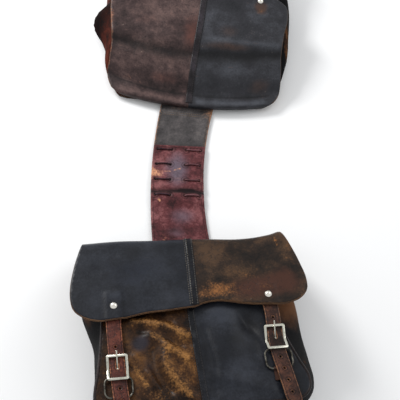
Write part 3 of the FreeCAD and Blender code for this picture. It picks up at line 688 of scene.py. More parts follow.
@dataclass(frozen=True)
class Thread:
    """Waxed sewing thread."""

    name: str
    body: str
    dirt: str

    def make(self) -> bpy.types.Material:
        """Mix the thread and the dirt in its twist.

        Returns:
            The material.
        """
        r = Recipe(self.name)
        place = lay_of(r, Lay.SOLID, 0.1)
        twist = r.noise(r.mapped(place, (900.0, 900.0, 900.0), 40.0), 1.0, 3.0, 0.6)
        dirt = r.noise(place, 90.0, 4.0, 0.6)
        shade = (dirt * 0.8 + twist * 0.4 - 0.1).clamped()
        colour = r.ramp(shade, [(0.35, dye(self.dirt)), (0.6, dye(self.body))])
        return r.finish(colour, (twist * 0.2 + 0.6).clamped(), twist, 0.0001)


@dataclass(frozen=True)
class Ground:
    """The pale, plain floor of the studio."""

    name: str = "studio_floor"

    def make(self) -> bpy.types.Material:
        """Mix a very even pale floor.

        Returns:
            The material.
        """
        r = Recipe(self.name)
        place = lay_of(r, Lay.SOLID, 0.0)
        cloud = r.noise(place, 1.5, 2.0, 0.5)
        colour = r.ramp(cloud, [(0.3, (0.90, 0.90, 0.90, 1.0)), (0.7, (0.93, 0.93, 0.93, 1.0))])
        return r.finish(colour, (cloud * 0.1 + 0.85).clamped(), Specular_IOR_Level=0.1)


Finish = Leather | Suede | CutEdge | Metal | Thread | Ground

FINISHES: dict[str, Finish] = {finish.name: finish for finish in (
    Leather("near_flap_black", "0f1014", "1b1d23", "2e3139", "4a4541", "1a1e29", 1.3, 0.38, scuffs=-0.12,
            crackle=0.15, border=0.15, contrast=0.6),
    Leather("near_flap_brown", "120d0a", "291d15", "4a3524", "85562e", "40251b", 3.1, 0.42, scuffs=0.04,
            crackle=0.9, border=0.25, specks=0.6, contrast=1.2),
    Leather("near_front_brown", "140b06", "3a2413", "614020", "8f6436", "2c282e", 5.2, 0.42, scuffs=0.06,
            crackle=1.2, border=0.15, contrast=1.4, shine=0.14),
    Leather("near_front_black", "0c0d10", "191b21", "30333b", "4f3627", "141821", 7.7, 0.38, scuffs=-0.1,
            crackle=0.2, border=0.15, contrast=0.6),
    Leather("far_flap_brown", "1f1717", "3d2f2e", "604c48", "8a5b42", "53332c", 9.4, 0.4, scuffs=0.04,
            crackle=0.9, border=0.35, specks=0.4, contrast=1.0),
    Leather("far_flap_blue", "18191c", "2b2b2f", "43454b", "6a4a35", "44332c", 11.8, 0.4, scuffs=0.03,
            crackle=0.8, border=0.2, specks=0.2, contrast=0.65),
    Leather("far_front_brown", "150c07", "38210f", "5f3c20", "a0662f", "2a2426", 21.0, 0.36, scuffs=0.04,
            crackle=1.1, border=0.2, contrast=1.4),
    Leather("far_front_black", "0a0b0e", "181a20", "2e3139", "4f3627", "141820", 23.0, 0.36, scuffs=-0.05,
            crackle=0.6, border=0.15),
    Leather("gusset_black", "050506", "0d0c0e", "1a191c", "5c3d26", "5f3d25", 13.5, 0.7, scuffs=-0.05,
            crackle=0.8, border=0.15, shine=0.06),
    Leather("gusset_red", "150907", "42190f", "653024", "935a3e", "0c0a0a", 15.1, 0.65, scuffs=0.0,
            crackle=1.0, border=0.25, contrast=1.3, shine=0.06),
    Leather("back_leather", "120e0b", "241b15", "382d24", "71523a", "1b1612", 17.3, 0.5, scuffs=0.08,
            crackle=0.9, border=0.3),
    Leather("seam_black", "08090b", "121318", "24262c", "4e443d", "171a21", 19.2, 0.34, scuffs=0.0,
            crackle=0.4, border=0.2),
    Leather("seam_dark", "120f11", "242023", "38333a", "54403a", "1d1f25", 20.2, 0.36, scuffs=0.02,
            crackle=0.5, border=0.2),
    Leather("yoke_grey", "262425", "464242", "676160", "96694a", "5b4038", 25.4, 0.45, scuffs=0.02,
            crackle=0.7, border=0.6, tooling=4.0, contrast=0.9),
    Leather("yoke_oxblood", "2c1416", "5a2b2e", "8a5556", "cf9470", "625560", 27.6, 0.42, scuffs=0.0,
            crackle=0.8, border=0.25, tooling=4.4, contrast=1.2),
    Leather("strap_red", "1f0e0a", "47211a", "6b382a", "a26a4a", "351a16", 29.9, 0.42, scuffs=0.06,
            crackle=1.4, border=0.5, tooling=2.3, contrast=1.3),
    Leather("strap_brown", "180e08", "36201a", "573628", "8c6043", "2a1a13", 31.7, 0.42, scuffs=0.05,
            crackle=1.4, border=0.5, tooling=2.3, contrast=1.3),
    Leather("tab_leather", "160c08", "301b14", "4a2f24", "7c543a", "271812", 33.3, 0.5, scuffs=0.03,
            crackle=1.0, lay=Lay.SOLID),
    Leather("welt_leather", "090808", "1c1312", "332322", "5e3c2c", "231513", 35.8, 0.38, scuffs=0.02,
            crackle=0.8, lay=Lay.SOLID),
    Leather("lace_dark", "160c10", "2d1a22", "4d3540", "7a5648", "2a1a20", 37.2, 0.45, scuffs=0.0,
            crackle=0.5, lay=Lay.SOLID),
    Leather("lace_pale", "3c2529", "6d474b", "94696a", "b98f78", "5a3c3c", 39.1, 0.45, scuffs=0.0,
            crackle=0.5, lay=Lay.SOLID),
    Suede("lining_suede", "8a6745", "57402c", 1.0),
    Suede("flesh_side", "5a4536", "382a20", 2.0),
    CutEdge("tan_edge", "9a7350", "56392a", 0.2),
    CutEdge("dark_edge", "4c3326", "171110", 0.6, dark_share=0.12),
    Metal("nickel_plate", "cfcdc0", "8b8876", 0.27, -0.05),
    Metal("ring_steel", "6a675f", "2a2622", 0.42, 0.05),
    Metal("cap_nickel", "f2eee4", "aaa193", 0.2, -0.08),
    Thread("pale_thread", "827a6c", "403b36"),
    Thread("tan_thread", "8f7250", "4a3a2a"),
    Thread("dark_thread", "2c2523", "0f0d0c"),
)}
FINISHES["floor"] = Ground()


class Wardrobe:
    """Makes each finish once and hands it out."""

    def __init__(self) -> None:
        """Start with no material made."""
        self.made: dict[str, bpy.types.Material] = {}

    def get(self, name: str) -> bpy.types.Material:
        """The material of a finish, made at its first use.

        Args:
            name: the finish's name.

        Returns:
            The material.
        """
        if name not in self.made:
            self.made[name] = FINISHES[name].make()
        return self.made[name]


WARDROBE = Wardrobe()


# ---------------------------------------------------------------- marks on leather


@dataclass(frozen=True)
class Dab:
    """A soft oval patch: its middle, its half sizes, its strength and its turn in degrees."""

    x: float
    s: float
    wide: float
    tall: float
    amount: float
    turn: float = 0.0

    def at(self, x: Array, s: Array) -> Array:
        """The patch's strength at places on the leather.

        Args:
            x: places across, in millimetres.
            s: places down, in millimetres.

        Returns:
            The strengths.
        """
        c, d = math.cos(math.radians(self.turn)), math.sin(math.radians(self.turn))
        across, down = (x - self.x) * c + (s - self.s) * d, (s - self.s) * c - (x - self.x) * d
        return self.amount * np.exp(-((across / self.wide) ** 2) - (down / self.tall) ** 2)


@dataclass(frozen=True)
class Streak:
    """A soft line: its points, its half width and its strength."""

    points: tuple[Point, ...]
    width: float
    amount: float

    def at(self, x: Array, s: Array) -> Array:
        """The line's strength at places on the leather.

        Args:
            x: places across, in millimetres.
            s: places down, in millimetres.

        Returns:
            The strengths.
        """
        line = smooth_run(self.points, 4.0)
        gap = gap_to(np.stack([x, s], axis=1), line, closed=False)
        return self.amount * np.exp(-((gap / self.width) ** 2))


@dataclass(frozen=True)
class Plate:
    """A raised or sunk flat patch with soft borders: its middle, half sizes, border and strength."""

    x: float
    s: float
    wide: float
    tall: float
    soft: float
    amount: float

    def at(self, x: Array, s: Array) -> Array:
        """The patch's strength at places on the leather.

        Args:
            x: places across, in millimetres.
            s: places down, in millimetres.

        Returns:
            The strengths.
        """
        across = 1.0 - ease(np.abs(x - self.x), self.wide - self.soft, self.wide + self.soft)
        down = 1.0 - ease(np.abs(s - self.s), self.tall - self.soft, self.tall + self.soft)
        return self.amount * across * down


Marks = tuple[Dab | Streak | Plate, ...]


def total(marks: Marks, x: Array, s: Array) -> Array:
    """All the marks added up."""
    return sum((mark.at(x, s) for mark in marks), np.zeros(len(x)))


@dataclass(frozen=True)
class Paint:
    """Where a hide is worn through and tinted, where it is darkened by painted shade and darker patches, and where it
    is lightened by painted highlights and lighter patches.
    """

    wear: Marks = ()
    # painted shade and painted shadow, and darker patches of the leather
    dark: Marks = ()
    tint: Marks = ()
    # painted highlights and painted sheen, and lighter patches of the leather
    light: Marks = ()


@dataclass(frozen=True)
class Dress:
    """The finishes of a hide's two faces and its cut edge."""

    grain: str
    flesh: str = "flesh_side"
    edge: str = "dark_edge"

    def materials(self) -> list[bpy.types.Material]:
        """The three materials, in the order of the mesh's slots."""
        return [WARDROBE.get(name) for name in (self.grain, self.flesh, self.edge)]


# ---------------------------------------------------------------- leather pieces


def hide_lay(surface: Surface, x: Array, s: Array, outward: float) -> tuple[Array, Array]:
    """Lay flat places on a surface.

    Args:
        surface: the curved surface.
        x: places across the leather.
        s: places along the leather.
        outward: 1 or -1, for the side that faces out.

    Returns:
        The points and their outward directions.
    """
    step = 0.5
    across = surface(x + step, s) - surface(x - step, s)
    down = surface(x, s + step) - surface(x, s - step)
    normal = np.cross(across, down) * outward
    normal /= np.maximum(np.linalg.norm(normal, axis=1, keepdims=True), 1e-9)
    return surface(x, s), normal


@dataclass
class Hide:
    """A piece cut from one hide: a flat outline, laid on a curved surface."""

    name: str
    runs: Sequence[Run]
    surface: Surface
    dress: Dress
    thickness: float
    spacing: float = 4.0
    holes: Sequence[Array] = ()
    relief: Marks = ()
    shape: Callable[[Array, Array], Array] | None = None
    paint: Paint = field(default_factory=Paint)
    lift: float = 0.0
    outward: float = 1.0
    softness: float = 0.5
    border_spacing: float = 2.4

    def _flat(self) -> tuple[Array, Array, list[Array], list[Array]]:
        """Triangulate the flat outline.

        Returns:
            The flat points, the triangles, the loops as point numbers, and the loops as places.
        """
        loops = [closed_loop(self.runs, self.border_spacing)] + [np.array(hole) for hole in self.holes]
        points, edges, numbers, borders = [], [], [], []
        for index, loop in enumerate(loops):
            inner = inset(loop, self.softness * (-1.0 if index else 1.0))
            for ring in (loop, inner):
                first = sum(len(part) for part in points)
                points.append(ring)
                order = np.arange(first, first + len(ring))
                edges += list(zip(order.tolist(), np.roll(order, -1).tolist()))
                if ring is loop:
                    numbers.append(order)
                    borders.append(loop)
        low, high = loops[0].min(axis=0), loops[0].max(axis=0)
        columns = np.arange(low[0] + self.spacing / 2, high[0], self.spacing)
        rows = np.arange(low[1] + self.spacing / 2, high[1], self.spacing * 0.87)
        grid = np.array([(x + (index % 2) * self.spacing / 2, y) for index,
                y in enumerate(rows) for x in columns])
        if len(grid):
            keep = inside(grid, loops[0])
            for index, loop in enumerate(loops):
                keep &= gap_to(grid, loop, closed=True) > max(self.softness * 1.6, self.spacing * 0.35)
                if index:
                    keep &= ~inside(grid, loop)
            points.append(grid[keep])
        flat = np.concatenate(points)
        result = delaunay_2d_cdt([Vector(point) for point in flat], edges, [], 0, 1e-6)
        places = np.array([tuple(point) for point in result[0]])
        faces = np.array([face for face in result[2] if len(face) == 3])
        middle = places[faces].mean(axis=1)
        keep = inside(middle, loops[0])
        for loop in loops[1:]:
            keep &= ~inside(middle, loop)
        if len(places) != len(flat):
            raise RuntimeError(self.name + ": the outline crosses itself")
        return places, faces[keep], numbers, borders

    def build(self) -> bpy.types.Object:
        """Make the mesh: a face, an underside and rounded cut edges.

        Returns:
            The new piece.
        """
        flat, faces, numbers, borders = self._flat()
        x, s = flat[:, 0], flat[:, 1]
        base, normal = hide_lay(self.surface, x, s, self.outward)
        raised = total(self.relief, x, s) + self.lift
        if self.shape is not None:
            raised = raised + self.shape(x, s)
        drop = np.zeros(len(flat))
        for order in numbers:
            drop[order] = min(self.softness, self.thickness / 2.2)
        top = base + normal * (raised - drop)[:, None]
        under = base + normal * (raised - self.thickness + drop)[:, None]
        count = len(flat)
        points = np.concatenate([top, under]) * MM
        a, b, c = top[faces[:, 0]], top[faces[:, 1]], top[faces[:, 2]]
        facing = np.sum(np.cross(b - a, c - a) * normal[faces[:, 0]], axis=1)
        faces[facing < 0] = faces[facing < 0][:, ::-1]
        polygons = faces.tolist() + (faces[:, ::-1] + count).tolist()
        slots = [0] * len(faces) + [1] * len(faces)
        for order in numbers:
            following = np.roll(order, -1)
            for one, two in zip(order.tolist(), following.tolist()):
                polygons.append([one, two, two + count, one + count])
                slots.append(2)
        mesh = bpy.data.meshes.new(self.name)
        mesh.from_pydata(points.tolist(), [], polygons)
        for material in self.dress.materials():
            mesh.materials.append(material)
        mesh.polygons.foreach_set("material_index", slots)
        self._mark(mesh, flat, borders)
        edit = bmesh.new()
        edit.from_mesh(mesh)
        bmesh.ops.recalc_face_normals(edit, faces=edit.faces)
        edit.to_mesh(mesh)
        edit.free()
        mesh.polygons.foreach_set("use_smooth", [True] * len(mesh.polygons))
        return add_object(self.name, mesh)

    def _mark(self, mesh: bpy.types.Mesh, flat: Array, borders: Sequence[Array]) -> None:
        """Store the cut map and the painted marks on the mesh.

        Args:
            mesh: the mesh.
            flat: the points of one face, laid flat.
            borders: the loops of its outline and holes.
        """
        x, s = flat[:, 0], flat[:, 1]
        edge = np.min([gap_to(flat, loop, closed=True) for loop in borders], axis=0)
        fields = {"edge": edge, "wear": total(self.paint.wear, x, s), "dark": total(self.paint.dark, x, s),
                  "tint": total(self.paint.tint, x, s), "light": total(self.paint.light, x, s)}
        for key, values in fields.items():
            stored = mesh.attributes.new(key, "FLOAT", "POINT")
            stored.data.foreach_set("value", np.tile(values, 2).astype(np.float32))
        corners = np.zeros(len(mesh.loops), np.int32)
        mesh.loops.foreach_get("vertex_index", corners)
        placed = np.tile(flat, (2, 1))[corners] * MM
        mesh.uv_layers.new(name=CUT_MAP).data.foreach_set("uv", placed.ravel())


def add_object(name: str, mesh: bpy.types.Mesh) -> bpy.types.Object:
    """Put a mesh in the scene, at the origin.

    Args:
        name: the piece's name.
        mesh: the mesh.

    Returns:
        The new piece.
    """
    piece = bpy.data.objects.new(name, mesh)
    bpy.context.scene.collection.objects.link(piece)
    LOG.info("built %s: %d faces", name, len(mesh.polygons))
    return piece


def settle(piece: bpy.types.Object, body: str, slot: str, *nodes: str) -> bpy.types.Object:
    """Let a piece ride on a body, take its slot and stand for CAD nodes.

    Args:
        piece: a finished mesh.
        body: the body that carries it.
        slot: the material slot.
        nodes: the CAD nodes that it replaces.

    Returns:
        The piece.
    """
    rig.slot(piece, slot)
    if nodes:
        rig.replaces(piece, *nodes)
    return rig.ride(piece, body)


def join_over(piece: bpy.types.Object, bodies: tuple[str, str], start: Array, end: Array, slot: str,
              *nodes: str) -> bpy.types.Object:
    """Let a piece bend between two bodies, take its slot and stand for CAD nodes.

    Args:
        piece: a finished mesh.
        bodies: the body before the bend and the body after it.
        start: where the bend starts, in millimetres.
        end: where the bend ends, in millimetres.
        slot: the material slot.
        nodes: the CAD nodes that it replaces.

    Returns:
        The piece.
    """
    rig.slot(piece, slot)
    if nodes:
        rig.replaces(piece, *nodes)
    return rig.blend(piece, *bodies, tuple(start * MM), tuple(end * MM))


def remade(node: str, name: str, finish: str, bevel: float, segments: int) -> bpy.types.Object:
    """Copy a CAD node's mesh, merge it and round its edges.

    Args:
        node: the CAD node.
        name: the new piece's name.
        finish: its finish.
        bevel: the radius of its edges in millimetres.
        segments: how many faces round an edge.

    Returns:
        The new piece.
    """
    mesh = frame["nodes"][node].data.copy()
    edit = bmesh.new()
    edit.from_mesh(mesh)
    bmesh.ops.remove_doubles(edit, verts=edit.verts, dist=1e-6)
    bmesh.ops.dissolve_limit(edit, angle_limit=math.radians(1.0), verts=edit.verts, edges=edit.edges)
    bmesh.ops.recalc_face_normals(edit, faces=edit.faces)
    edit.to_mesh(mesh)
    edit.free()
    mesh.materials.clear()
    mesh.materials.append(WARDROBE.get(finish))
    mesh.polygons.foreach_set("material_index", [0] * len(mesh.polygons))
    mesh.polygons.foreach_set("use_smooth", [True] * len(mesh.polygons))
    piece = add_object(name, mesh)
    rounding = piece.modifiers.new("rounding", "BEVEL")
    rounding.width, rounding.segments = bevel * MM, segments
    rounding.limit_method, rounding.angle_limit = "ANGLE", math.radians(35.0)
    rounding.harden_normals = True
    return piece


def dress_node(node: str, finish: str) -> None:
    """Give a CAD node a finish and leave its shape alone."""
    for slot in frame["nodes"][node].material_slots:
        slot.material = WARDROBE.get(finish)


# ---------------------------------------------------------------- sewing and cords of leather


class NodeRoll:
    """Builds Geometry Nodes trees."""

    def __init__(self, name: str, sizes: dict[str, float]) -> None:
        """Start a tree with a geometry input, named sizes and a material.

        Args:
            name: the tree's name.
            sizes: its number inputs and their usual values.
        """
        self.tree = bpy.data.node_groups.new(name, "GeometryNodeTree")
        self.identifiers: dict[str, str] = {}
        interface = self.tree.interface
        interface.new_socket("Geometry", in_out="INPUT", socket_type="NodeSocketGeometry")
        for key, value in sizes.items():
            socket = interface.new_socket(key, in_out="INPUT", socket_type="NodeSocketFloat")
            socket.default_value = value
            self.identifiers[key] = socket.identifier
        finish = interface.new_socket("Finish", in_out="INPUT", socket_type="NodeSocketMaterial")
        self.identifiers["Finish"] = finish.identifier
        interface.new_socket("Geometry", in_out="OUTPUT", socket_type="NodeSocketGeometry")
        self.start = self.tree.nodes.new("NodeGroupInput")
        self.end = self.tree.nodes.new("NodeGroupOutput")

    def add(self, kind: str, settings: dict | None = None, inputs: dict | None = None) -> bpy.types.Node:
        """Add a node with its settings, and its inputs as values or sockets.

        Args:
            kind: the node's type.
            settings: its properties.
            inputs: values or sockets for its inputs.

        Returns:
            The new node.
        """
        node = self.tree.nodes.new(kind)
        for key, setting in (settings or {}).items():
            setattr(node, key, setting)
        for key, value in (inputs or {}).items():
            if isinstance(value, bpy.types.NodeSocket):
                self.tree.links.new(value, node.inputs[key])
            else:
                node.inputs[key].default_value = value
        return node

    def close(self, geometry: bpy.types.NodeSocket) -> None:
        """Realize the geometry, give it the material and end the tree.

        Args:
            geometry: the socket with the finished shape.
        """
        real = self.add("GeometryNodeRealizeInstances", None, {"Geometry": geometry})
        shaded = self.add("GeometryNodeSetShadeSmooth", None, {"Geometry": real.outputs[0]})
        dressed = self.add("GeometryNodeSetMaterial", None,
                           {"Geometry": shaded.outputs[0], "Material": self.start.outputs["Finish"]})
        self.tree.links.new(dressed.outputs[0], self.end.inputs[0])

    def apply(self, name: str, lines: Sequence[Array], sizes: dict[str, float],
            finish: str) -> bpy.types.Object:
        """Run the tree on lines of points and keep the plain mesh.

        Args:
            name: the new piece's name.
            lines: lines of points in millimetres.
            sizes: numbers for the tree's inputs.
            finish: the finish.

        Returns:
            The new piece, with no modifier left on it.
        """
        points, edges = [], []
        for line in lines:
            first = len(points)
            points += (line * MM).tolist()
            edges += [(first + step, first + step + 1) for step in range(len(line) - 1)]
        mesh = bpy.data.meshes.new(name + "_path")
        mesh.from_pydata(points, edges, [])
        carrier = bpy.data.objects.new(name + "_path", mesh)
        bpy.context.scene.collection.objects.link(carrier)
        modifier = carrier.modifiers.new("make", "NODES")
        modifier.node_group = self.tree
        for key, value in sizes.items():
            modifier[self.identifiers[key]] = value
        modifier[self.identifiers["Finish"]] = WARDROBE.get(finish)
        bpy.context.view_layer.update()
        evaluated = carrier.evaluated_get(bpy.context.evaluated_depsgraph_get())
        made = bpy.data.meshes.new_from_object(evaluated)
        made.name = name
        bpy.data.objects.remove(carrier)
        return add_object(name, made)


def stitch_tree() -> NodeRoll:
    """A row of stitches along each line: one small thread loop every pitch.

    Returns:
        The tree.
    """
    roll = NodeRoll("stitches", {"Pitch": 4.2 * MM, "Length": 3.0 * MM, "Thickness": 0.75 * MM})
    start = roll.start.outputs
    path = roll.add("GeometryNodeMeshToCurve", None, {"Mesh": start["Geometry"]})
    even = roll.add("GeometryNodeResampleCurve", {"mode": "LENGTH"},
                    {"Curve": path.outputs[0], "Length": start["Pitch"]})
    bead = roll.add("GeometryNodeMeshIcoSphere", None, {"Radius": 0.5, "Subdivisions": 1})
    size = roll.add("ShaderNodeCombineXYZ", None,
                    {"X": start["Length"], "Y": start["Thickness"], "Z": start["Thickness"]})
    shaped = roll.add("GeometryNodeTransform", None, {"Geometry": bead.outputs[0], "Scale": size.outputs[0]})
    tangent = roll.add("GeometryNodeInputTangent")
    turn = roll.add("FunctionNodeAlignRotationToVector", {"axis": "X"}, {"Vector": tangent.outputs[0]})
    rows = roll.add("GeometryNodeInstanceOnPoints", None,
                    {"Points": even.outputs[0], "Instance": shaped.outputs[0], "Rotation": turn.outputs[0]})
    roll.close(rows.outputs[0])
    return roll


def rope_tree() -> NodeRoll:
    """A round cord of leather along each line.

    Returns:
        The tree.
    """
    roll = NodeRoll("leather_cord", {"Radius": 2.0 * MM, "Spacing": 1.5 * MM})
    start = roll.start.outputs
    path = roll.add("GeometryNodeMeshToCurve", None, {"Mesh": start["Geometry"]})
    even = roll.add("GeometryNodeResampleCurve", {"mode": "LENGTH"},
                    {"Curve": path.outputs[0], "Length": start["Spacing"]})
    ring = roll.add("GeometryNodeCurvePrimitiveCircle", None, {"Resolution": 12, "Radius": start["Radius"]})
    tube = roll.add("GeometryNodeCurveToMesh", None,
                    {"Curve": even.outputs[0], "Profile Curve": ring.outputs[0], "Fill Caps": True})
    roll.close(tube.outputs[0])
    return roll


STITCHES = stitch_tree()
ROPE = rope_tree()


def ring_hole(x: float, s: float, radius: float, count: int = 14) -> Array:
    """A round hole as a loop of points."""
    turns = np.arange(count) * 2 * math.pi / count
    return np.stack([x + radius * np.cos(turns), s + radius * np.sin(turns)], axis=1)


def slot_hole(x: float, low: float, high: float, half: float) -> Array:
    """A slot with rounded ends as a loop of points.

    Args:
        x: its middle across.
        low: the middle of its lower end.
        high: the middle of its upper end.
        half: its half width.

    Returns:
        The loop.
    """
    turns = np.linspace(0, math.pi, 6)
    head = np.stack([x + half * np.cos(turns), high + half * np.sin(turns)], axis=1)
    foot = np.stack([x - half * np.cos(turns), low - half * np.sin(turns)], axis=1)
    return np.concatenate([head, foot])


# ---------------------------------------------------------------- where a bag lies


def joint(name: str) -> dict:
    """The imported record's entry for a joint."""
    return next(entry for entry in frame["record"]["behaviour"]["joints"] if entry["name"] == name)


@dataclass(frozen=True)
class Lie:
    """The two frames of a bag: its own, and that of its sloping front."""

    origin: Array
    along: Array
    away: Array
    mouth: Point
    slope: float

    @classmethod
    def of(cls, bag: str, mouth: Point, slope: float) -> "Lie":
        """Read a bag's place from its fold joint.

        Args:
            bag: near or far.
            mouth: the mouth's middle: away from the fold, and up.
            slope: the front's slope in degrees.

        Returns:
            The bag's two frames.
        """
        fold = joint(f"{bag}_bag_fold")
        along = -np.array(fold["axis"], float)
        origin = np.array([fold["pos_m"][0] / MM, fold["pos_m"][1] / MM, 0.0])
        return cls(origin, along, np.cross(UP, along), mouth, math.radians(slope))

    def local(self, x: Array, y: Array, z: Array) -> Array:
        """Points along the fold seam, away from it and up."""
        x, y, z = np.broadcast_arrays(np.asarray(x, float), y, z)
        return self.origin + x[..., None] * self.along + y[..., None] * self.away + z[..., None] * UP

    def front(self, x: Array, s: Array, n: Array) -> Array:
        """Points across the front, down it from the mouth, and off it."""
        c, d = math.cos(self.slope), math.sin(self.slope)
        return self.local(x, self.mouth[0] + s * c - n * d, self.mouth[1] + s * d + n * c)


@dataclass(frozen=True)
class Station:
    """A corner of a bent sheet: its place along the sheet, its softness and where it lies."""

    at: float
    soft: float
    place: Callable[[Array], Array]


@dataclass(frozen=True)
class Bend:
    """A sheet folded along soft corners."""

    stations: Sequence[Station]

    def __call__(self, x: Array, q: Array) -> Array:
        """Points of the sheet across it and along it.

        Args:
            x: places across, in millimetres.
            q: places along, in millimetres.

        Returns:
            The points, one row each.
        """
        x, q = np.asarray(x, float), np.asarray(q, float)
        corners = [station.place(x) for station in self.stations]
        at = [station.at for station in self.stations]

        def leg(index: int, q: Array) -> Array:
            """Points on one flat length between two corners."""
            share = (q - at[index]) / (at[index + 1] - at[index])
            return corners[index] + (corners[index + 1] - corners[index]) * share[..., None]

        result = leg(0, q)
        for index in range(1, len(at) - 1):
            result = np.where((q > at[index])[..., None], leg(index, q), result)
        for index in range(1, len(at) - 1):
            soft = self.stations[index].soft
            share = np.clip((q - at[index] + soft) / (2 * soft), 0.0, 1.0)[..., None]
            before = leg(index - 1, np.full_like(q, at[index] - soft))
            after = leg(index, np.full_like(q, at[index] + soft))
            curve = (1 - share) ** 2 * before + 2 * share * (1 - share) * corners[index] + share**2 * after
            result = np.where((np.abs(q - at[index]) < soft)[..., None], curve, result)
        return result


# ---------------------------------------------------------------- the closures


@dataclass
class Closure:
    """One strap with its buckle, chape and ring."""

    bag: str
    side: str
    lie: Lie
    middle: float
    strap_start: float
    strap_end: float
    buckle: float
    hole_steps: Sequence[float]
    lean: Sequence[Point]
    finish: str
    paint: Paint
    strap_top: float = 7.9
    thickness: float = 2.2
    half_width: float = 11.0
    hole_pitch: float = 18.0
    hole_radius: float = 1.8
    slot_back: float = 10.5
    slot_ahead: float = 2.2

    @property
    def prefix(self) -> str:
        """The start of the names of this closure's nodes."""
        return f"{self.bag}_{self.side}"

    def _surface(self, x: Array, s: Array) -> Array:
        """The strap's face: it leans a little and its tail lifts and settles.

        Args:
            x: places across, in millimetres.
            s: places down, in millimetres.

        Returns:
            The points of the strap's face.
        """
        tail = s - self.buckle
        wave = 0.35 * np.sin(s / 17.0) * ease(tail, 22.0, 40.0)
        curl = 0.5 * ease(tail, 60.0, 110.0)
        return self.lie.front(x + self.middle + through(s, self.lean), s, self.strap_top + wave + curl)

    def _strap(self) -> bpy.types.Object:
        """The punched and tooled strap.

        Returns:
            The strap.
        """
        w, start, end = self.half_width, self.strap_start, self.strap_end
        runs = [[(-w + 5, start), (w - 5, start)], [(w - 5, start), (w, start + 5)],
                [(w, start + 5), (w, end - 15)],
                [(w, end - 15), (w - 1.2, end - 8), (w - 6, end - 2), (0, end), (-w + 6, end - 2),
                 (-w + 1.2, end - 8), (-w, end - 15)],
                [(-w, end - 15), (-w, start + 5)], [(-w, start + 5), (-w + 5, start)]]
        holes = [ring_hole(0.0, self.buckle + step * self.hole_pitch,
                self.hole_radius) for step in self.hole_steps]
        holes.append(slot_hole(0.0, self.buckle - self.slot_back + 1.5, self.buckle + self.slot_ahead - 1.5,
                1.5))
        dress = Dress(self.finish, "flesh_side", "tan_edge")
        worn = tuple(Dab(0.0, self.buckle + step * self.hole_pitch, 4.0, 5.0,
                -0.2) for step in self.hole_steps)
        paint = Paint(self.paint.wear + worn, self.paint.dark, self.paint.tint, self.paint.light)
        relief = (Streak(((0.0, start + 10), (0.0, end - 12)), 5.5, 0.25),)
        strap = Hide(f"{self.prefix}_strap_leather", runs, self._surface, dress, self.thickness, 3.0, holes,
                     relief, None, paint, softness=0.55, border_spacing=2.2)
        return strap.build()

    def build(self) -> None:
        """Make the closure's pieces and dress its metal."""
        p, tail = self.prefix, f"{self.bag}_{self.side}_strap_end"
        settle(self._strap(), tail, "strap_leather", f"{p}_strap")
        chape = remade(f"{p}_chape", f"{p}_chape_leather", "tab_leather", 0.35, 2)
        settle(chape, tail, "strap_leather", f"{p}_chape")
        buckle = remade(f"{p}_buckle_frame", f"{p}_buckle_cast", "nickel_plate", 0.5, 2)
        settle(buckle, tail, "nickel", f"{p}_buckle_frame")
        dress_node(f"{p}_buckle_prong", "nickel_plate")
        dress_node(f"{p}_snap_stud", "nickel_plate")
        dress_node(f"{p}_ring", "ring_steel")


# ---------------------------------------------------------------- the bags


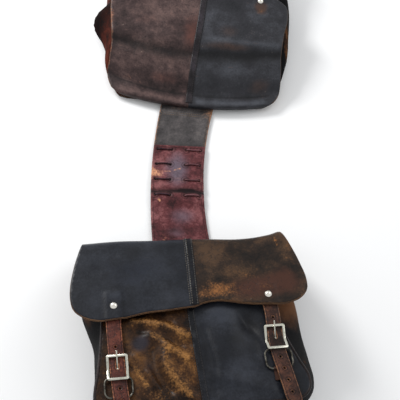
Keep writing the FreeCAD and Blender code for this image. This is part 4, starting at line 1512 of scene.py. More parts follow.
@dataclass
class Bag:
    """One bag: its lie, its outlines, its wear with its painted shade and painted highlights, and its two closures."""

    name: str
    lie: Lie
    hinge: tuple[Station, ...]
    ridge_soft: float
    ridge_line: Sequence[Point]
    flap_left: Sequence[Run]
    flap_right: Sequence[Run]
    flap_seam: Sequence[Point]
    front_left: Run
    front_right: Run
    front_seam: Sequence[Point]
    back_half: Run
    bulge_left: Sequence[Point]
    bulge_right: Sequence[Point]
    finishes: dict[str, str]
    paints: dict[str, Paint]
    reliefs: dict[str, Marks]
    snap: float
    strap_start: float
    blend_low: float
    blend_high: float
    strip_from: float
    flap_top: float = 12.9
    ridge: float = -6.0
    front_length: float = 262.0
    strap_x: float = 115.0
    leather: float = 2.8
    flap_leather: float = 2.6
    lining: float = 1.2
    strip: float = 1.4
    strip_half: float = 5.5
    flap_end: float = 140.0
    lining_rim: float = 0.9
    glue: float = 0.05
    thread_lift: float = 0.2
    wall_length: float = 400.0
    wall_depth: float = 95.0
    wall_leather: float = 2.4
    wall_steps: int = 160
    corner_from_middle: float = 150.0

    def finish(self, key: str) -> str:
        """The finish of one of the bag's parts."""
        return self.finishes[key]

    def paint(self, key: str) -> Paint:
        """The wear, tint, painted shade and painted highlights of one of the bag's parts."""
        return self.paints.get(key, Paint())

    def relief(self, key: str) -> Marks:
        """The hollows and ridges of one of the bag's parts."""
        return self.reliefs.get(key, ())

    # -- flap

    def flap_bend(self) -> Bend:
        """The flap's folded sheet: tucked in at the seam, up to the ridge and down over the front.

        Returns:
            The sheet.
        """

        def ridge(x: Array) -> Array:
            """The flap's ridge."""
            return self.lie.front(x, self.ridge + through(x, self.ridge_line), self.flap_top)

        def beyond(x: Array) -> Array:
            """A line on the front, past the flap's edge."""
            return self.lie.front(x, np.full_like(x, self.flap_end), self.flap_top)

        corner = Station(self.ridge, self.ridge_soft, ridge)
        return Bend((*self.hinge, corner, Station(self.flap_end, 1.0, beyond)))

    def _flap_fold(self) -> tuple[tuple[str, str], Array, Array]:
        """The flap's two bodies, and where the bend between them starts and ends."""
        low, high = (self.lie.local(0.0, 0.0, z) for z in (self.blend_low, self.blend_high))
        return (f"{self.name}_bag", f"{self.name}_flap"), low, high

    def _snap_relief(self) -> Marks:
        """The straps' heads pressed through the flap, and the dimples round the caps.

        Returns:
            The marks.
        """
        marks: Marks = ()
        for side in (1.0, -1.0):
            x = side * self.strap_x
            marks += (Plate(x, self.snap + 4, 12.5, 27.0, 2.0, 0.9), Dab(x, self.snap, 9.0, 9.0, -0.8))
        return marks

    def build_flap(self) -> None:
        """The flap's two leathers, its cover strip, its lining and its snaps."""
        sheet = self.flap_bend()
        fold = self._flap_fold()
        slots = {"left": "blue_black_leather", "right": "brown_leather"}
        for side, runs in (("left", self.flap_left), ("right", self.flap_right)):
            key = f"flap_{side}"
            dress = Dress(self.finish(key), "lining_suede", "tan_edge")
            hide = Hide(f"{self.name}_{key}_hide", runs, sheet, dress, self.flap_leather, 3.6, (),
                        self._snap_relief() + self.relief("flap"), self._ripple, self.paint(key))
            join_over(hide.build(), *fold, slots[side], f"{self.name}_{key}")
        strip_end = self._seam_bottom() - 1.0
        runs = self._strip_runs(self.flap_seam, self.strip_from, strip_end, self.strip_half)
        strip = Hide(f"{self.name}_flap_seam_cover", runs, sheet, Dress(self.finish("strip"),
                edge="dark_edge"), self.strip, 2.6, (), self.relief("flap"), self._ripple, lift=self.strip,
                softness=0.4)
        join_over(strip.build(), *fold, "black_leather", f"{self.name}_flap_seam_strip")
        self._build_lining(sheet)
        dress_node(f"{self.name}_flap_snap_caps", "cap_nickel")
        dress_node(f"{self.name}_flap_snap_sockets", "nickel_plate")
        self._sew_flap(sheet, strip_end)

    def _seam_bottom(self) -> float:
        """Where the flap's seam meets its lower edge."""
        return max(self.flap_left[-1][-1][1], self.flap_left[0][0][1], self.flap_left[-1][0][1])

    def _ripple(self, x: Array, q: Array) -> Array:
        """The flap's free edge waving a little off the front.

        Args:
            x: places across, in millimetres.
            q: places along, in millimetres.

        Returns:
            The heights, in millimetres.
        """
        loose = ease(q, 40.0, 125.0)
        return loose * (0.9 * np.sin(x / 23.0 + 0.6) + 0.5 * np.sin(x / 11.0)) * (1.0 - ease(np.abs(x), 95.0,
                110.0))

    def _strip_runs(self, seam: Sequence[Point], start: float, end: float, half: float) -> list[Run]:
        """The outline of a cover strip along a seam.

        Args:
            seam: the seam's places across, by place along.
            start: where the strip starts.
            end: where it ends.
            half: its half width.

        Returns:
            The outline's four runs.
        """
        places = np.linspace(start, end, 9)
        middle = through(places, seam)
        left = [(m + half, q) for m, q in zip(middle, places)]
        right = [(m - half, q) for m, q in zip(middle, places)]
        return [left, [left[-1], right[-1]], right[::-1], [right[0], left[0]]]

    def _build_lining(self, sheet: Bend) -> None:
        """One lining under both halves of the flap.

        Args:
            sheet: the flap's folded sheet.
        """
        loop = closed_loop([*self.flap_left[:-1], *[run[::-1] for run in self.flap_right[:-1]][::-1]], 4.0)
        rim = inset(loop, -self.lining_rim)
        runs = [[tuple(a), tuple(b)] for a, b in zip(rim, np.roll(rim, -1, axis=0))]
        lining = Hide(f"{self.name}_flap_lining_suede", runs, sheet, Dress("flesh_side", "lining_suede",
                "tan_edge"), self.lining, 5.0, (), self._snap_relief() + self.relief("flap"), self._ripple,
                lift=-self.flap_leather - self.glue, softness=0.3, border_spacing=4.0)
        join_over(lining.build(), *self._flap_fold(), "tan_lining", f"{self.name}_flap_lining")

    def _sew_flap(self, sheet: Bend, strip_end: float) -> None:
        """The stitches along the flap's seam.

        Args:
            sheet: the flap's folded sheet.
            strip_end: where the cover strip ends.
        """
        lines = []
        for offset in (-3.9, 3.6, 6.9):
            q = np.linspace(self.strip_from + 3, strip_end - 3, 90)
            x = through(q, self.flap_seam) + offset
            on_strip = abs(offset) < self.strip_half
            lift = self.thread_lift + (self.strip if on_strip else 0.0)
            base, normal = hide_lay(sheet, x, q, 1.0)
            raised = total(self.relief("flap"), x, q) + lift + self._ripple(x, q)
            lines.append(base + normal * raised[:, None])
        sewn = STITCHES.apply(f"{self.name}_flap_stitches", lines, {"Pitch": 4.0 * MM}, self.finish("thread"))
        join_over(sewn, *self._flap_fold(), "black_leather")

    # -- body

    def _front_surface(self, x: Array, s: Array) -> Array:
        """The plane of the front."""
        return self.lie.front(x, s, 0.0)

    def _sag(self, x: Array, s: Array) -> Array:
        """The front's fullness: it swells in the middle and sinks between the straps and the sides.

        Args:
            x: places across, in millimetres.
            s: places down, in millimetres.

        Returns:
            The heights, in millimetres.
        """
        across = 1.0 - ease(np.abs(x), 20.0, 88.0)
        swell = 3.0 * across * ease(s, 25.0, 130.0) * (1.0 - 0.5 * ease(s, 200.0, 262.0))
        edge = -1.2 * ease(np.abs(x), 96.0, 140.0)
        return swell + edge

    def build_front(self) -> None:
        """The front's two halves, its cover strip and the welt round it."""
        body = f"{self.name}_bag"
        slots = {"left": "brown_leather", "right": "black_leather"}
        for side, outer, sign in (("left", self.front_left, 1.0), ("right", self.front_right, -1.0)):
            key = f"front_{side}"
            places = np.linspace(self.front_length + 2, 0.0, 8)
            seam = [(m + 0.1 * sign, s) for m, s in zip(through(places, self.front_seam), places)]
            runs = [list(outer), [outer[-1], seam[0]], seam, [seam[-1], outer[0]]]
            hide = Hide(f"{self.name}_{key}_hide", runs, self._front_surface, Dress(self.finish(key)),
                        self.leather, 3.4, (), self.relief("front"), self._sag, self.paint(key))
            settle(hide.build(), body, slots[side], f"{self.name}_{key}")
        runs = self._strip_runs(self.front_seam, 0.5, self.front_length, self.strip_half - 0.5)
        cover = Hide(f"{self.name}_front_seam_cover", runs, self._front_surface,
                     Dress(self.finish("strip"), edge="dark_edge"), self.strip, 2.6, (),
                     self.relief("front") + (Streak(((-2.0, 10.0), (-2.0, 250.0)), 1.6, -0.5),), self._sag,
                     lift=self.strip, softness=0.4)
        settle(cover.build(), body, "black_leather", f"{self.name}_front_seam_strip")
        self._build_welt(body)
        self._sew_front(body)

    def _build_welt(self, body: str) -> None:
        """The piping between the front and the gussets.

        Args:
            body: the body's name.
        """
        left = smooth_run(self.front_left, 3.0)
        right = smooth_run(self.front_right, 3.0)[::-1]
        line = np.concatenate([left, right])
        x, s = line[:, 0], line[:, 1]
        wander = 0.25 * np.sin(np.arange(len(line)) / 5.0)
        n = self._sag(x, s) + total(self.relief("front"), x, s) * 0.6 - 1.2 + wander
        welt = ROPE.apply(f"{self.name}_front_piping", [self.lie.front(x, s, n)],
                          {"Radius": 2.1 * MM, "Spacing": 2.0 * MM}, "welt_leather")
        settle(welt, body, "dark_leather", f"{self.name}_front_welt")

    def _sew_front(self, body: str) -> None:
        """The stitches along the front's seam and just inside its welt.

        Args:
            body: the body's name.
        """
        lines = []
        s = np.linspace(6.0, self.front_length - 6.0, 110)
        for offset, lift in ((-3.4, self.strip), (3.4, self.strip), (7.2, 0.0)):
            x = through(s, self.front_seam) + offset
            n = self._sag(x, s) + total(self.relief("front"), x, s) + lift + 0.2
            lines.append(self.lie.front(x, s, n))
        sewn = STITCHES.apply(f"{self.name}_front_stitches", lines, {"Pitch": 4.0 * MM},
                self.finish("front_thread"))
        settle(sewn, body, "black_leather")

    def _wall_line(self, outer: Run, sign: float) -> Array:
        """A gusset's edge from the bottom's middle up to the mouth.

        Args:
            outer: the outline of half a panel, from the mouth down.
            sign: 1 for the left side, -1 for the right.

        Returns:
            The edge, in even steps.
        """
        line = np.array([*outer, (0.0, outer[-1][1])], float) * (sign, 1.0)
        line = smooth_run(line, 1.0)[::-1]
        length = float(np.sum(np.linalg.norm(np.diff(line, axis=0), axis=1)))
        return resample(line, length / self.wall_steps)

    def _wall_ends(self, b: Array) -> tuple[Array, Array, Array]:
        """The gussets' two edges and outward push at distances from the bottom's middle.

        Args:
            b: distances round the outline from the bottom's middle.

        Returns:
            The points at the front, the points at the back, and the push outwards.
        """
        g, leftward = np.abs(b), b >= 0
        share = np.clip(g / self.wall_length, 0.0, 1.0)
        outlines = (((self.front_left, 1.0), (self.front_right, 1.0)), ((self.back_half, 1.0),
                (self.back_half, -1.0)))
        edges = []
        for pair in outlines:
            row = np.zeros((len(b), 2))
            for chosen, (outer, sign) in zip((leftward, ~leftward), pair):
                line = self._wall_line(outer, sign)
                ruler = np.linspace(0.0, 1.0, len(line))
                for axis in range(2):
                    row[chosen, axis] = np.interp(share[chosen], ruler, line[:, axis])
            edges.append(row)
        push = np.where(leftward, through(g, self.bulge_left), through(g, self.bulge_right))
        turn = np.radians(90.0) * (1.0 - ease(g, 100.0, 175.0))
        out = np.stack([np.where(leftward, 1.0, -1.0) * np.cos(turn) * push, np.sin(turn) * push], axis=1)
        return edges[0], edges[1], out

    def wall(self, b: Array, v: Array) -> Array:
        """The gussets' surface: round the outline from the bottom's middle, and from front to back.

        Args:
            b: distances round the outline from the bottom's middle.
            v: distances from the front to the back.

        Returns:
            The points, one row each.
        """
        shape = np.broadcast(b, v).shape
        b, v = np.broadcast_to(b, shape).ravel(), np.broadcast_to(v, shape).ravel()
        front, back, out = self._wall_ends(b)
        t = np.clip(v / self.wall_depth, -0.05, 1.05)[:, None]
        top = self.lie.front(front[:, 0], front[:, 1], np.full(len(b), -1.8))
        foot = self.lie.local(back[:, 0], back[:, 1], np.full(len(b), 2.0))
        middle = (top + foot) / 2 + 2.0 * (out[:, :1] * self.lie.along + out[:, 1:] * self.lie.away)
        return (1 - t) ** 2 * top + 2 * t * (1 - t) * middle + t**2 * foot

    def build_walls(self) -> None:
        """The side and bottom gussets and the back panel."""
        body = f"{self.name}_bag"
        c, l, d = self.corner_from_middle, self.wall_length, self.wall_depth
        spans = {"left": (c - 1.0, l), "bottom": (-c, c), "right": (-l, -c + 1.0)}
        for key, (low, high) in spans.items():
            runs = [[(low, 0.0), (high, 0.0)], [(high, 0.0), (high, d)], [(high, d), (low, d)], [(low, d),
                    (low, 0.0)]]
            part = f"gusset_{key}"
            hide = Hide(f"{self.name}_{part}_hide", runs, self.wall, Dress(self.finish(part)),
                    self.wall_leather, 4.2, (), self.relief(part), None, self.paint(part))
            settle(hide.build(), body, "dark_leather", f"{self.name}_{part}")
        left = list(self.back_half)
        right = [(-x, y) for x, y in left]
        runs = [left, [left[-1], right[-1]], right[::-1], [right[0], left[0]]]

        def ground(x: Array, y: Array) -> Array:
            """The plane of the back."""
            return self.lie.local(x, y, np.full_like(x, 0.1))

        back = Hide(f"{self.name}_back_hide", runs, ground, Dress("back_leather"), self.leather, 5.0,
                    outward=-1.0)
        settle(back.build(), body, "dark_leather", f"{self.name}_back_panel")

    def build_tabs(self) -> None:
        """The riveted tabs that hold the rings."""
        body = f"{self.name}_bag"
        tabs = remade(f"{self.name}_ring_tabs", f"{self.name}_ring_tab_leather", "tab_leather", 0.35, 2)
        settle(tabs, body, "strap_leather", f"{self.name}_ring_tabs")
        dress_node(f"{self.name}_tab_rivets", "nickel_plate")

    def build(self) -> None:
        """Make the whole bag."""
        self.build_walls()
        self.build_front()
        self.build_tabs()
        self.build_flap()


# ---------------------------------------------------------------- the yoke


@dataclass
class Yoke:
    """Two straps laced together, bowed a little to one side."""

    near: Lie
    far: Lie
    half_width: float = 45.5
    bow: float = -12.0
    rows: tuple[float, ...] = (46.0, 15.0, -16.0, -47.0)
    outer: float = 38.0
    inner: float = 13.0
    hole: float = 2.2
    thickness: float = 2.6
    lower: float = 5.8
    upper: float = 8.6
    lap_far: float = 55.0
    lap_near: float = -56.0
    step: float = 10.0
    reach: float = 161.0

    def __post_init__(self) -> None:
        """Find the yoke's middle from its packed laces."""
        left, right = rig.box("yoke_lace_left"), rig.box("yoke_lace_right")
        rows_middle = (self.rows[0] + self.rows[-1]) / 2
        self.x0 = (left[0].x + right[1].x) / 2 / MM
        self.y0 = (left[0].y + left[1].y) / 2 / MM - rows_middle

    def sway(self, y: Array) -> Array:
        """How far the yoke bows sideways."""
        return self.bow * (1.0 - ((np.asarray(y, float) + 10.0) / 140.0) ** 2)

    def place(self, x: Array, y: Array, z: Array) -> Array:
        """Points across the yoke, along it and up."""
        x, y, z = np.broadcast_arrays(np.asarray(x, float), np.asarray(y, float), z)
        return np.stack([x + self.sway(y) + self.x0, y + self.y0, z], axis=-1)

    def _edge(self, y: Array) -> Array:
        """Half the width, a little more at the ends."""
        return self.half_width + 3.0 * (np.asarray(y, float) / 145.0) ** 2

    def upper_face(self, x: Array, y: Array) -> Array:
        """The near strap's face: over the far strap, down a step and flat to the seam."""
        down = 1.0 - ease(y, self.lap_near - self.step - 3.0, self.lap_near + 1.0)
        return self.place(x, y, self.upper - (self.upper - self.lower) * down)

    def lower_face(self, x: Array, y: Array) -> Array:
        """The far strap's face."""
        return self.place(x, y, np.full_like(np.asarray(x, float), self.lower))

    def _fold(self, bag: str) -> tuple[tuple[str, str], Array, Array]:
        """The two bodies at a bag's fold, and where the strap's bend starts and ends."""
        lie = self.near if bag == "near" else self.far
        return ("yoke", f"{bag}_bag"), lie.local(0.0, -14.0, 4.0), lie.local(0.0, 6.0, 4.0)

    def _holes(self) -> list[Array]:
        """The lace holes."""
        return [ring_hole(side * column, row, self.hole) for row in self.rows
                for side in (1.0, -1.0) for column in (self.outer, self.inner)]

    def _runs(self, low: float, high: float, slants: tuple[float, float]) -> list[Run]:
        """A strap's outline, its ends cut at a slant.

        Args:
            low: where it starts.
            high: where it ends.
            slants: the slants of the two ends, as rise over run.

        Returns:
            The outline's four runs.
        """
        y = np.linspace(low, high, 12)
        w = self._edge(y)
        lean = (y - low) / (high - low)
        tilt = slants[0] * (1 - lean) ** 6 + slants[1] * lean**6
        right = [(a, b + t * a) for a, b, t in zip(w, y, tilt)]
        left = [(-a, b - t * a) for a, b, t in zip(w, y, tilt)]
        return [right, [right[-1], left[-1]], left[::-1], [left[0], right[0]]]

    def build(self) -> None:
        """Make the straps, the laces and the sewing."""
        scuff = (Dab(-44.0, -3.0, 12.0, 8.0, 0.95), Streak(((-40.0, -1.0), (-10.0, 1.5), (6.0, 8.0)), 1.3,
                0.75), Streak(((-44.0, -40.0), (-44.0, 20.0)), 2.0, 0.25), Dab(-28.0, -128.0, 6.0, 16.0, 0.3),
                Dab(-30.0, -8.0, 9.0, 4.0, 0.4), Dab(-31.0, -57.0, 1.6, 3.0, 1.6))
        # crease holds the dark marks: painted shade in the crease valleys and in the lace holes, and a darker line
        # near the strap's end.
        crease = (Streak(((-46.0, -41.0), (-10.0, -39.0), (20.0, -37.0), (46.0, -41.0)), 3.6, 0.95), Dab(20.0,
                -38.0, 24.0, 6.0, 0.5), Streak(((-30.0, -116.0), (30.0, -112.0)), 3.0, 0.3), Streak(((-46.0,
                52.0), (46.0, 52.0)), 2.5, 0.25))
        crease += tuple(Dab(side * column, row, 3.6, 3.6, 0.95) for row in self.rows for side in (1.0, -1.0)
                        for column in (self.outer, self.inner))
        middle = (Dab(0.0, 5.0, 26.0, 45.0, 0.75), Dab(5.0, -85.0, 30.0, 22.0, 0.6), Dab(-8.0, -120.0, 26.0,
                14.0, 0.5))
        paint = Paint(scuff, crease, middle, (Dab(10.0, -75.0, 26.0, 10.0, 0.4),))
        relief = (Streak(((-46.0, -40.0), (46.0, -39.0)), 4.0, -1.6), Streak(((-46.0, -30.0), (46.0, -29.0)),
                7.0, 1.4), Streak(((-32.0, -115.0), (34.0, -111.0)), 4.0, -0.5))
        near = Hide("yoke_near_hide", self._runs(-self.reach, self.lap_far, (0.12, 0.0)), self.upper_face,
                    Dress("yoke_oxblood"), self.thickness, 3.4, self._holes(), relief, None, paint)
        join_over(near.build(), *self._fold("near"), "oxblood_leather", "yoke_near_strap")
        # The far strap's dark line across it is a painted shadow along the near strap's end.
        far_paint = Paint((Dab(38.0, 130.0, 14.0, 14.0, 0.45), Streak(((45.0, 60.0), (45.5, 140.0)), 2.5,
                0.35), Streak(((-45.0, 60.0), (-46.0, 140.0)), 2.0, 0.3), Dab(-20.0, 140.0, 20.0, 5.0, 0.25)),
                (Dab(0.0, 58.0, 50.0, 3.0, 0.35),))
        far = Hide("yoke_far_hide", self._runs(self.lap_near, self.reach, (0.0, -0.044)), self.lower_face,
                   Dress("yoke_grey"), self.thickness, 3.4, self._holes(), (), None, far_paint)
        join_over(far.build(), *self._fold("far"), "grey_leather", "yoke_far_strap")
        self._lace("left", -1.0, "lace_dark")
        self._lace("right", 1.0, "lace_pale")
        self._sew()

    def _lace(self, side: str, sign: float, finish: str) -> None:
        """One lace, across the top of each row and under the straps to the next.

        Args:
            side: left or right.
            sign: 1 for the left side, -1 for the right.
            finish: the finish's name.
        """
        top, under, middle = 9.9, 1.9, 6.0
        shoulder, turn = 0.9, 0.52
        points: list[tuple[float, float, float]] = []
        for index, row in enumerate(self.rows):
            ends = (self.outer, self.inner) if index % 2 == 0 else (self.inner, self.outer)
            first, last = (sign * column for column in ends)
            way = math.copysign(1.0, last - first)
            tilt = 0.9 if index % 2 else -0.6
            points += [(first, row, under), (first, row, middle), (first + turn * way, row, top - shoulder),
                       (first + 3 * way, row + tilt * 0.3, top), ((first + last) / 2, row + tilt, top + 0.3),
                       (last - 3 * way, row + tilt * 0.3, top), (last - turn * way, row, top - shoulder),
                       (last, row, middle), (last, row, under)]
        route = np.array(points)
        line = smooth_run(self.place(route[:, 0], route[:, 1], route[:, 2]), 0.8)
        line[:, 2] = np.clip(line[:, 2], under, top + 0.3)
        lace = ROPE.apply(f"yoke_lace_{side}_thong", [line],
                          {"Radius": 1.15 * MM, "Spacing": 0.8 * MM}, finish)
        settle(lace, "yoke", "lace_leather", f"yoke_lace_{side}")

    def _sew(self) -> None:
        """The stitches along the far strap's borders and across its end."""
        y = np.linspace(self.lap_far + 4.0, 126.0, 60)
        lines = []
        for side in (1.0, -1.0):
            lines.append(self.lower_face(side * (self._edge(y) - 4.0), y) + UP * 0.15)
        x = np.linspace(-40.0, 40.0, 40)
        for row in (127.0, 122.5):
            lines.append(self.lower_face(x, row - 0.044 * x) + UP * 0.15)
        sewn = STITCHES.apply("yoke_stitches", lines, {"Pitch": 3.6 * MM, "Length": 2.6 * MM}, "tan_thread")
        settle(sewn, "yoke", "grey_leather")


# ---------------------------------------------------------------- the two bags' own sizes


def near_bag() -> Bag:
    """The bag that shows its front.

    Returns:
        The near bag.
    """
    lie = Lie.of("near", (27.11, 79.34), 6)
    hinge_at = -94

    def tuck(x: Array) -> Array:
        """The leather's end inside the bag."""
        return lie.local(x, 16, 6)

    def fold(x: Array) -> Array:
        """The line of the hinge."""
        return lie.local(x, -0.5, 6)

    hinge = (Station(hinge_at - 16, 1, tuck), Station(hinge_at, 5, fold))
    seam = [(-110, -3), (-94, -4), (-6, -6), (60, -5), (112, -4)]
    top = [(x, q) for q, x in seam]
    seam_run = smooth_run(top, 12)[::-1].tolist()
    left = [
        [(-3, -109), (147, -109)],
        [
            (147, -109), (150, -94), (155, -50), (158, -6), (169, 32), (176, 66), (177, 88), (173, 106),
            (160, 119), (143, 126), (107, 126), (63, 119), (30, 118), (-4, 115)],
        seam_run]
    right = [
        [(-3, -109), (-147, -109)],
        [
            (-147, -109), (-150, -94), (-153, -50), (-154, -8), (-163, 18), (-172, 52), (-177, 84),
            (-175, 99), (-163, 113), (-145, 120), (-107, 119), (-71, 113), (-38, 107), (-19, 109),
            (-4, 115)],
        seam_run]
    left[2][0], right[2][0] = (-4, 115), (-4, 115)
    left[2][-1], right[2][-1] = (-3, -109), (-3, -109)
    # flap_black: dark is painted shade beside the strap head under the flap and round the snap cap, and a darker band
    # below the ridge; light is painted highlights on the strap head and along the ridge, and painted sheen on the
    # face.
    flap_black = Paint(
        wear=(Dab(120, -6, 30, 8, 0.12), Dab(20, 40, 22, 14, 0.08)),
        dark=(
            Streak(((101, 85), (101, 126)), 1.3, 0.55), Streak(((129, 90), (129, 126)), 1.3, 0.4),
            Dab(115, 105, 9.5, 9.5, 0.5), Dab(60, 10, 60, 12, 0.25)),
        tint=(Dab(90, 50, 60, 40, 0.5),),
        light=(
            Dab(112, 90, 11, 8, 0.7), Dab(60, 58, 30, 12, 0.3, 10),
            Streak(((150, -3), (60, -5), (10, -3)), 5, 0.5), Dab(130, 20, 30, 18, 0.35),
            Dab(20, 95, 40, 12, 0.2)))
    # flap_brown: dark is painted shade round the snap cap, and darker patches along the ridge and beside the fold;
    # light is painted highlights on the raised fold, the corner and the strap head, and painted sheen.
    flap_brown = Paint(
        wear=(
            Dab(-52, 88, 24, 12, 0.62, -12), Dab(-28, 96, 18, 9, 0.55), Dab(-86, 66, 26, 8, 0.35, -25),
            Dab(-160, 40, 8, 40, 0.25), Dab(-112, 88, 9, 9, 0.3),
            Streak(((-140, 2), (-143, 20)), 1.2, 0.9)),
        dark=(
            Dab(-60, 0, 60, 14, 0.3), Dab(-100, 30, 22, 9, 0.35, 20), Dab(-115, 105, 9.5, 9.5, 0.5),
            Dab(-40, 52, 20, 6, 0.2, -20)),
        tint=(Dab(-100, 88, 50, 26, 0.85), Dab(-150, 80, 24, 30, 0.6)),
        light=(
            Dab(-70, 60, 30, 16, 0.6, -20), Dab(-160, 20, 14, 30, 0.6), Dab(-112, 90, 11, 12, 0.7),
            Dab(-30, 20, 20, 16, 0.3)))
    folds = (
        Streak(((90, 128), (60, 134), (38, 142), (12, 159)), 7.5, 5),
        Streak(((66, 150), (47, 162), (47, 200), (30, 232), (17, 250)), 8, 5.2),
        Streak(((40, 168), (30, 182), (12, 194)), 5.5, 3.6),
        Streak(((72, 208), (60, 236), (52, 256)), 4, 2.2),
        Streak(((34, 132), (26, 150), (10, 172)), 4, -2.4),
        Streak(((88, 182), (78, 200), (64, 230)), 6, 2.6),
        Streak(((78, 142), (58, 152), (22, 172)), 5.5, -3.2),
        Streak(((66, 176), (62, 205), (44, 238)), 7, -3.6), Dab(-78, 146, 12, 22, -5.5, 20),
        Dab(-46, 168, 24, 44, 3.2), Streak(((-70, 128), (-88, 158), (-96, 200)), 6, -1.4),
        Streak(((-20, 225), (-60, 236), (-98, 250)), 9, 2.4), Dab(-40, 122, 24, 10, 2),
        Streak(((-14, 150), (-22, 200), (-18, 250)), 5, -1.5))
    # front_brown: dark is painted shade in the fold valleys and a painted shadow under the flap's edge, and darker
    # along the left edge and in small spots; light is painted highlights on the fold crests.
    front_brown = Paint(
        wear=(
            Streak(((88, 128), (60, 133), (38, 142), (12, 159)), 6, 0.6),
            Streak(((62, 152), (47, 164), (46, 204), (29, 234), (17, 250)), 6, 0.6),
            Streak(((36, 176), (15, 193)), 5, 0.5), Dab(18, 180, 14, 26, 0.2), Dab(14, 150, 10, 8, 0.3),
            Streak(((90, 200), (84, 212), (76, 228)), 3.5, 0.75), Dab(25, 215, 16, 26, 0.2),
            Dab(60, 245, 26, 16, 0.2)),
        dark=(
            Dab(142, 170, 16, 70, 0.85), Streak(((80, 142), (56, 154), (24, 170)), 4.5, 0.45),
            Streak(((66, 172), (64, 205), (46, 240)), 8, 0.4), Dab(10, 135, 12, 12, 0.35),
            Dab(90, 160, 10, 10, 0.3), Dab(60, 118, 80, 8, 0.5)),
        tint=(Dab(80, 162, 16, 14, 1, 30), Dab(70, 200, 12, 20, 0.5)),
        light=(Dab(30, 190, 26, 50, 0.5), Dab(70, 135, 20, 10, 0.4)))
    # front_black: dark is painted shade in the hollow and in the valley by the seam and a painted shadow under the
    # flap's edge, and darker near the right edge; light is painted highlights on the raised folds.
    front_black = Paint(
        wear=(Dab(-122, 140, 7, 14, 0.35), Dab(-98, 146, 3, 3, 0.6)),
        dark=(
            Dab(-84, 146, 15, 24, 0.75, 15), Dab(-10, 190, 6, 60, 0.3), Dab(-70, 112, 70, 8, 0.5),
            Dab(-135, 210, 16, 30, 0.4)),
        light=(Dab(-40, 128, 26, 22, 0.7), Dab(-60, 215, 34, 22, 0.5, 20), Dab(-100, 190, 8, 20, 0.35)))
    return Bag(
        name="near", lie=lie, hinge=hinge, ridge_soft=13,
        ridge_line=[
            (-160, 3), (-150, 2), (-135, 5), (-110, 9), (-87, 10), (-40, 6), (0, 3), (53, 1), (99, -2),
            (157, -1)],
        flap_left=left, flap_right=right, flap_seam=seam,
        front_left=[
            (122, 0), (125, 60), (133, 120), (138, 171), (143, 205), (148, 232), (146, 250), (136, 261),
            (115, 265), (60, 264)],
        front_right=[
            (-118, 0), (-119, 80), (-122, 120), (-129, 160), (-145, 209), (-154, 234), (-153, 249),
            (-143, 261), (-124, 265), (-60, 264)],
        front_seam=[(0, 0), (60, 2), (115, 3), (190, 0), (264, -3)],
        back_half=[
            (146, 8), (148, 60), (149, 150), (149, 235), (146, 262), (132, 279), (110, 284), (60, 285)],
        bulge_left=[
            (0, 6), (120, 6), (175, 4), (210, 2), (240, 3), (270, 14), (300, 24), (350, 16), (400, 6)],
        bulge_right=[(0, 6), (120, 7), (150, 14), (180, 20), (235, 26), (300, 30), (350, 20), (400, 6)],
        finishes={
            "flap_left": "near_flap_black",
            "flap_right": "near_flap_brown",
            "front_left": "near_front_brown",
            "front_right": "near_front_black",
            "gusset_left": "gusset_black",
            "gusset_right": "gusset_black",
            "gusset_bottom": "gusset_black",
            "strip": "seam_black",
            "thread": "pale_thread",
            "front_thread": "dark_thread"},
        paints={
            "flap_left": flap_black,
            "flap_right": flap_brown,
            "front_left": front_brown,
            "front_right": front_black,
            "gusset_right": Paint(
                wear=(Dab(-305, 20, 30, 22, 0.5), Dab(-190, 10, 16, 10, 0.5)),
                tint=(Dab(-300, 25, 50, 40, 1),),
                light=(Dab(-300, 25, 34, 30, 0.8),)),
            "gusset_left": Paint(tint=(Dab(330, 30, 50, 40, 0.8),), light=(Dab(330, 30, 40, 30, 0.4),))},
        reliefs={
            "flap": (
                Streak(((-120, 20), (-60, 60), (-20, 76)), 16, 1.2), Dab(-112, 4, 20, 9, -1.6),
                Streak(((-150, -20), (-153, 10)), 7, 1.4), Dab(70, 30, 40, 18, 0.8),
                Streak(((130, 40), (60, 66), (10, 72)), 12, -0.8)),
            "front": folds},
        snap=105, strap_start=82, blend_low=5.5, blend_high=22, strip_from=-78)


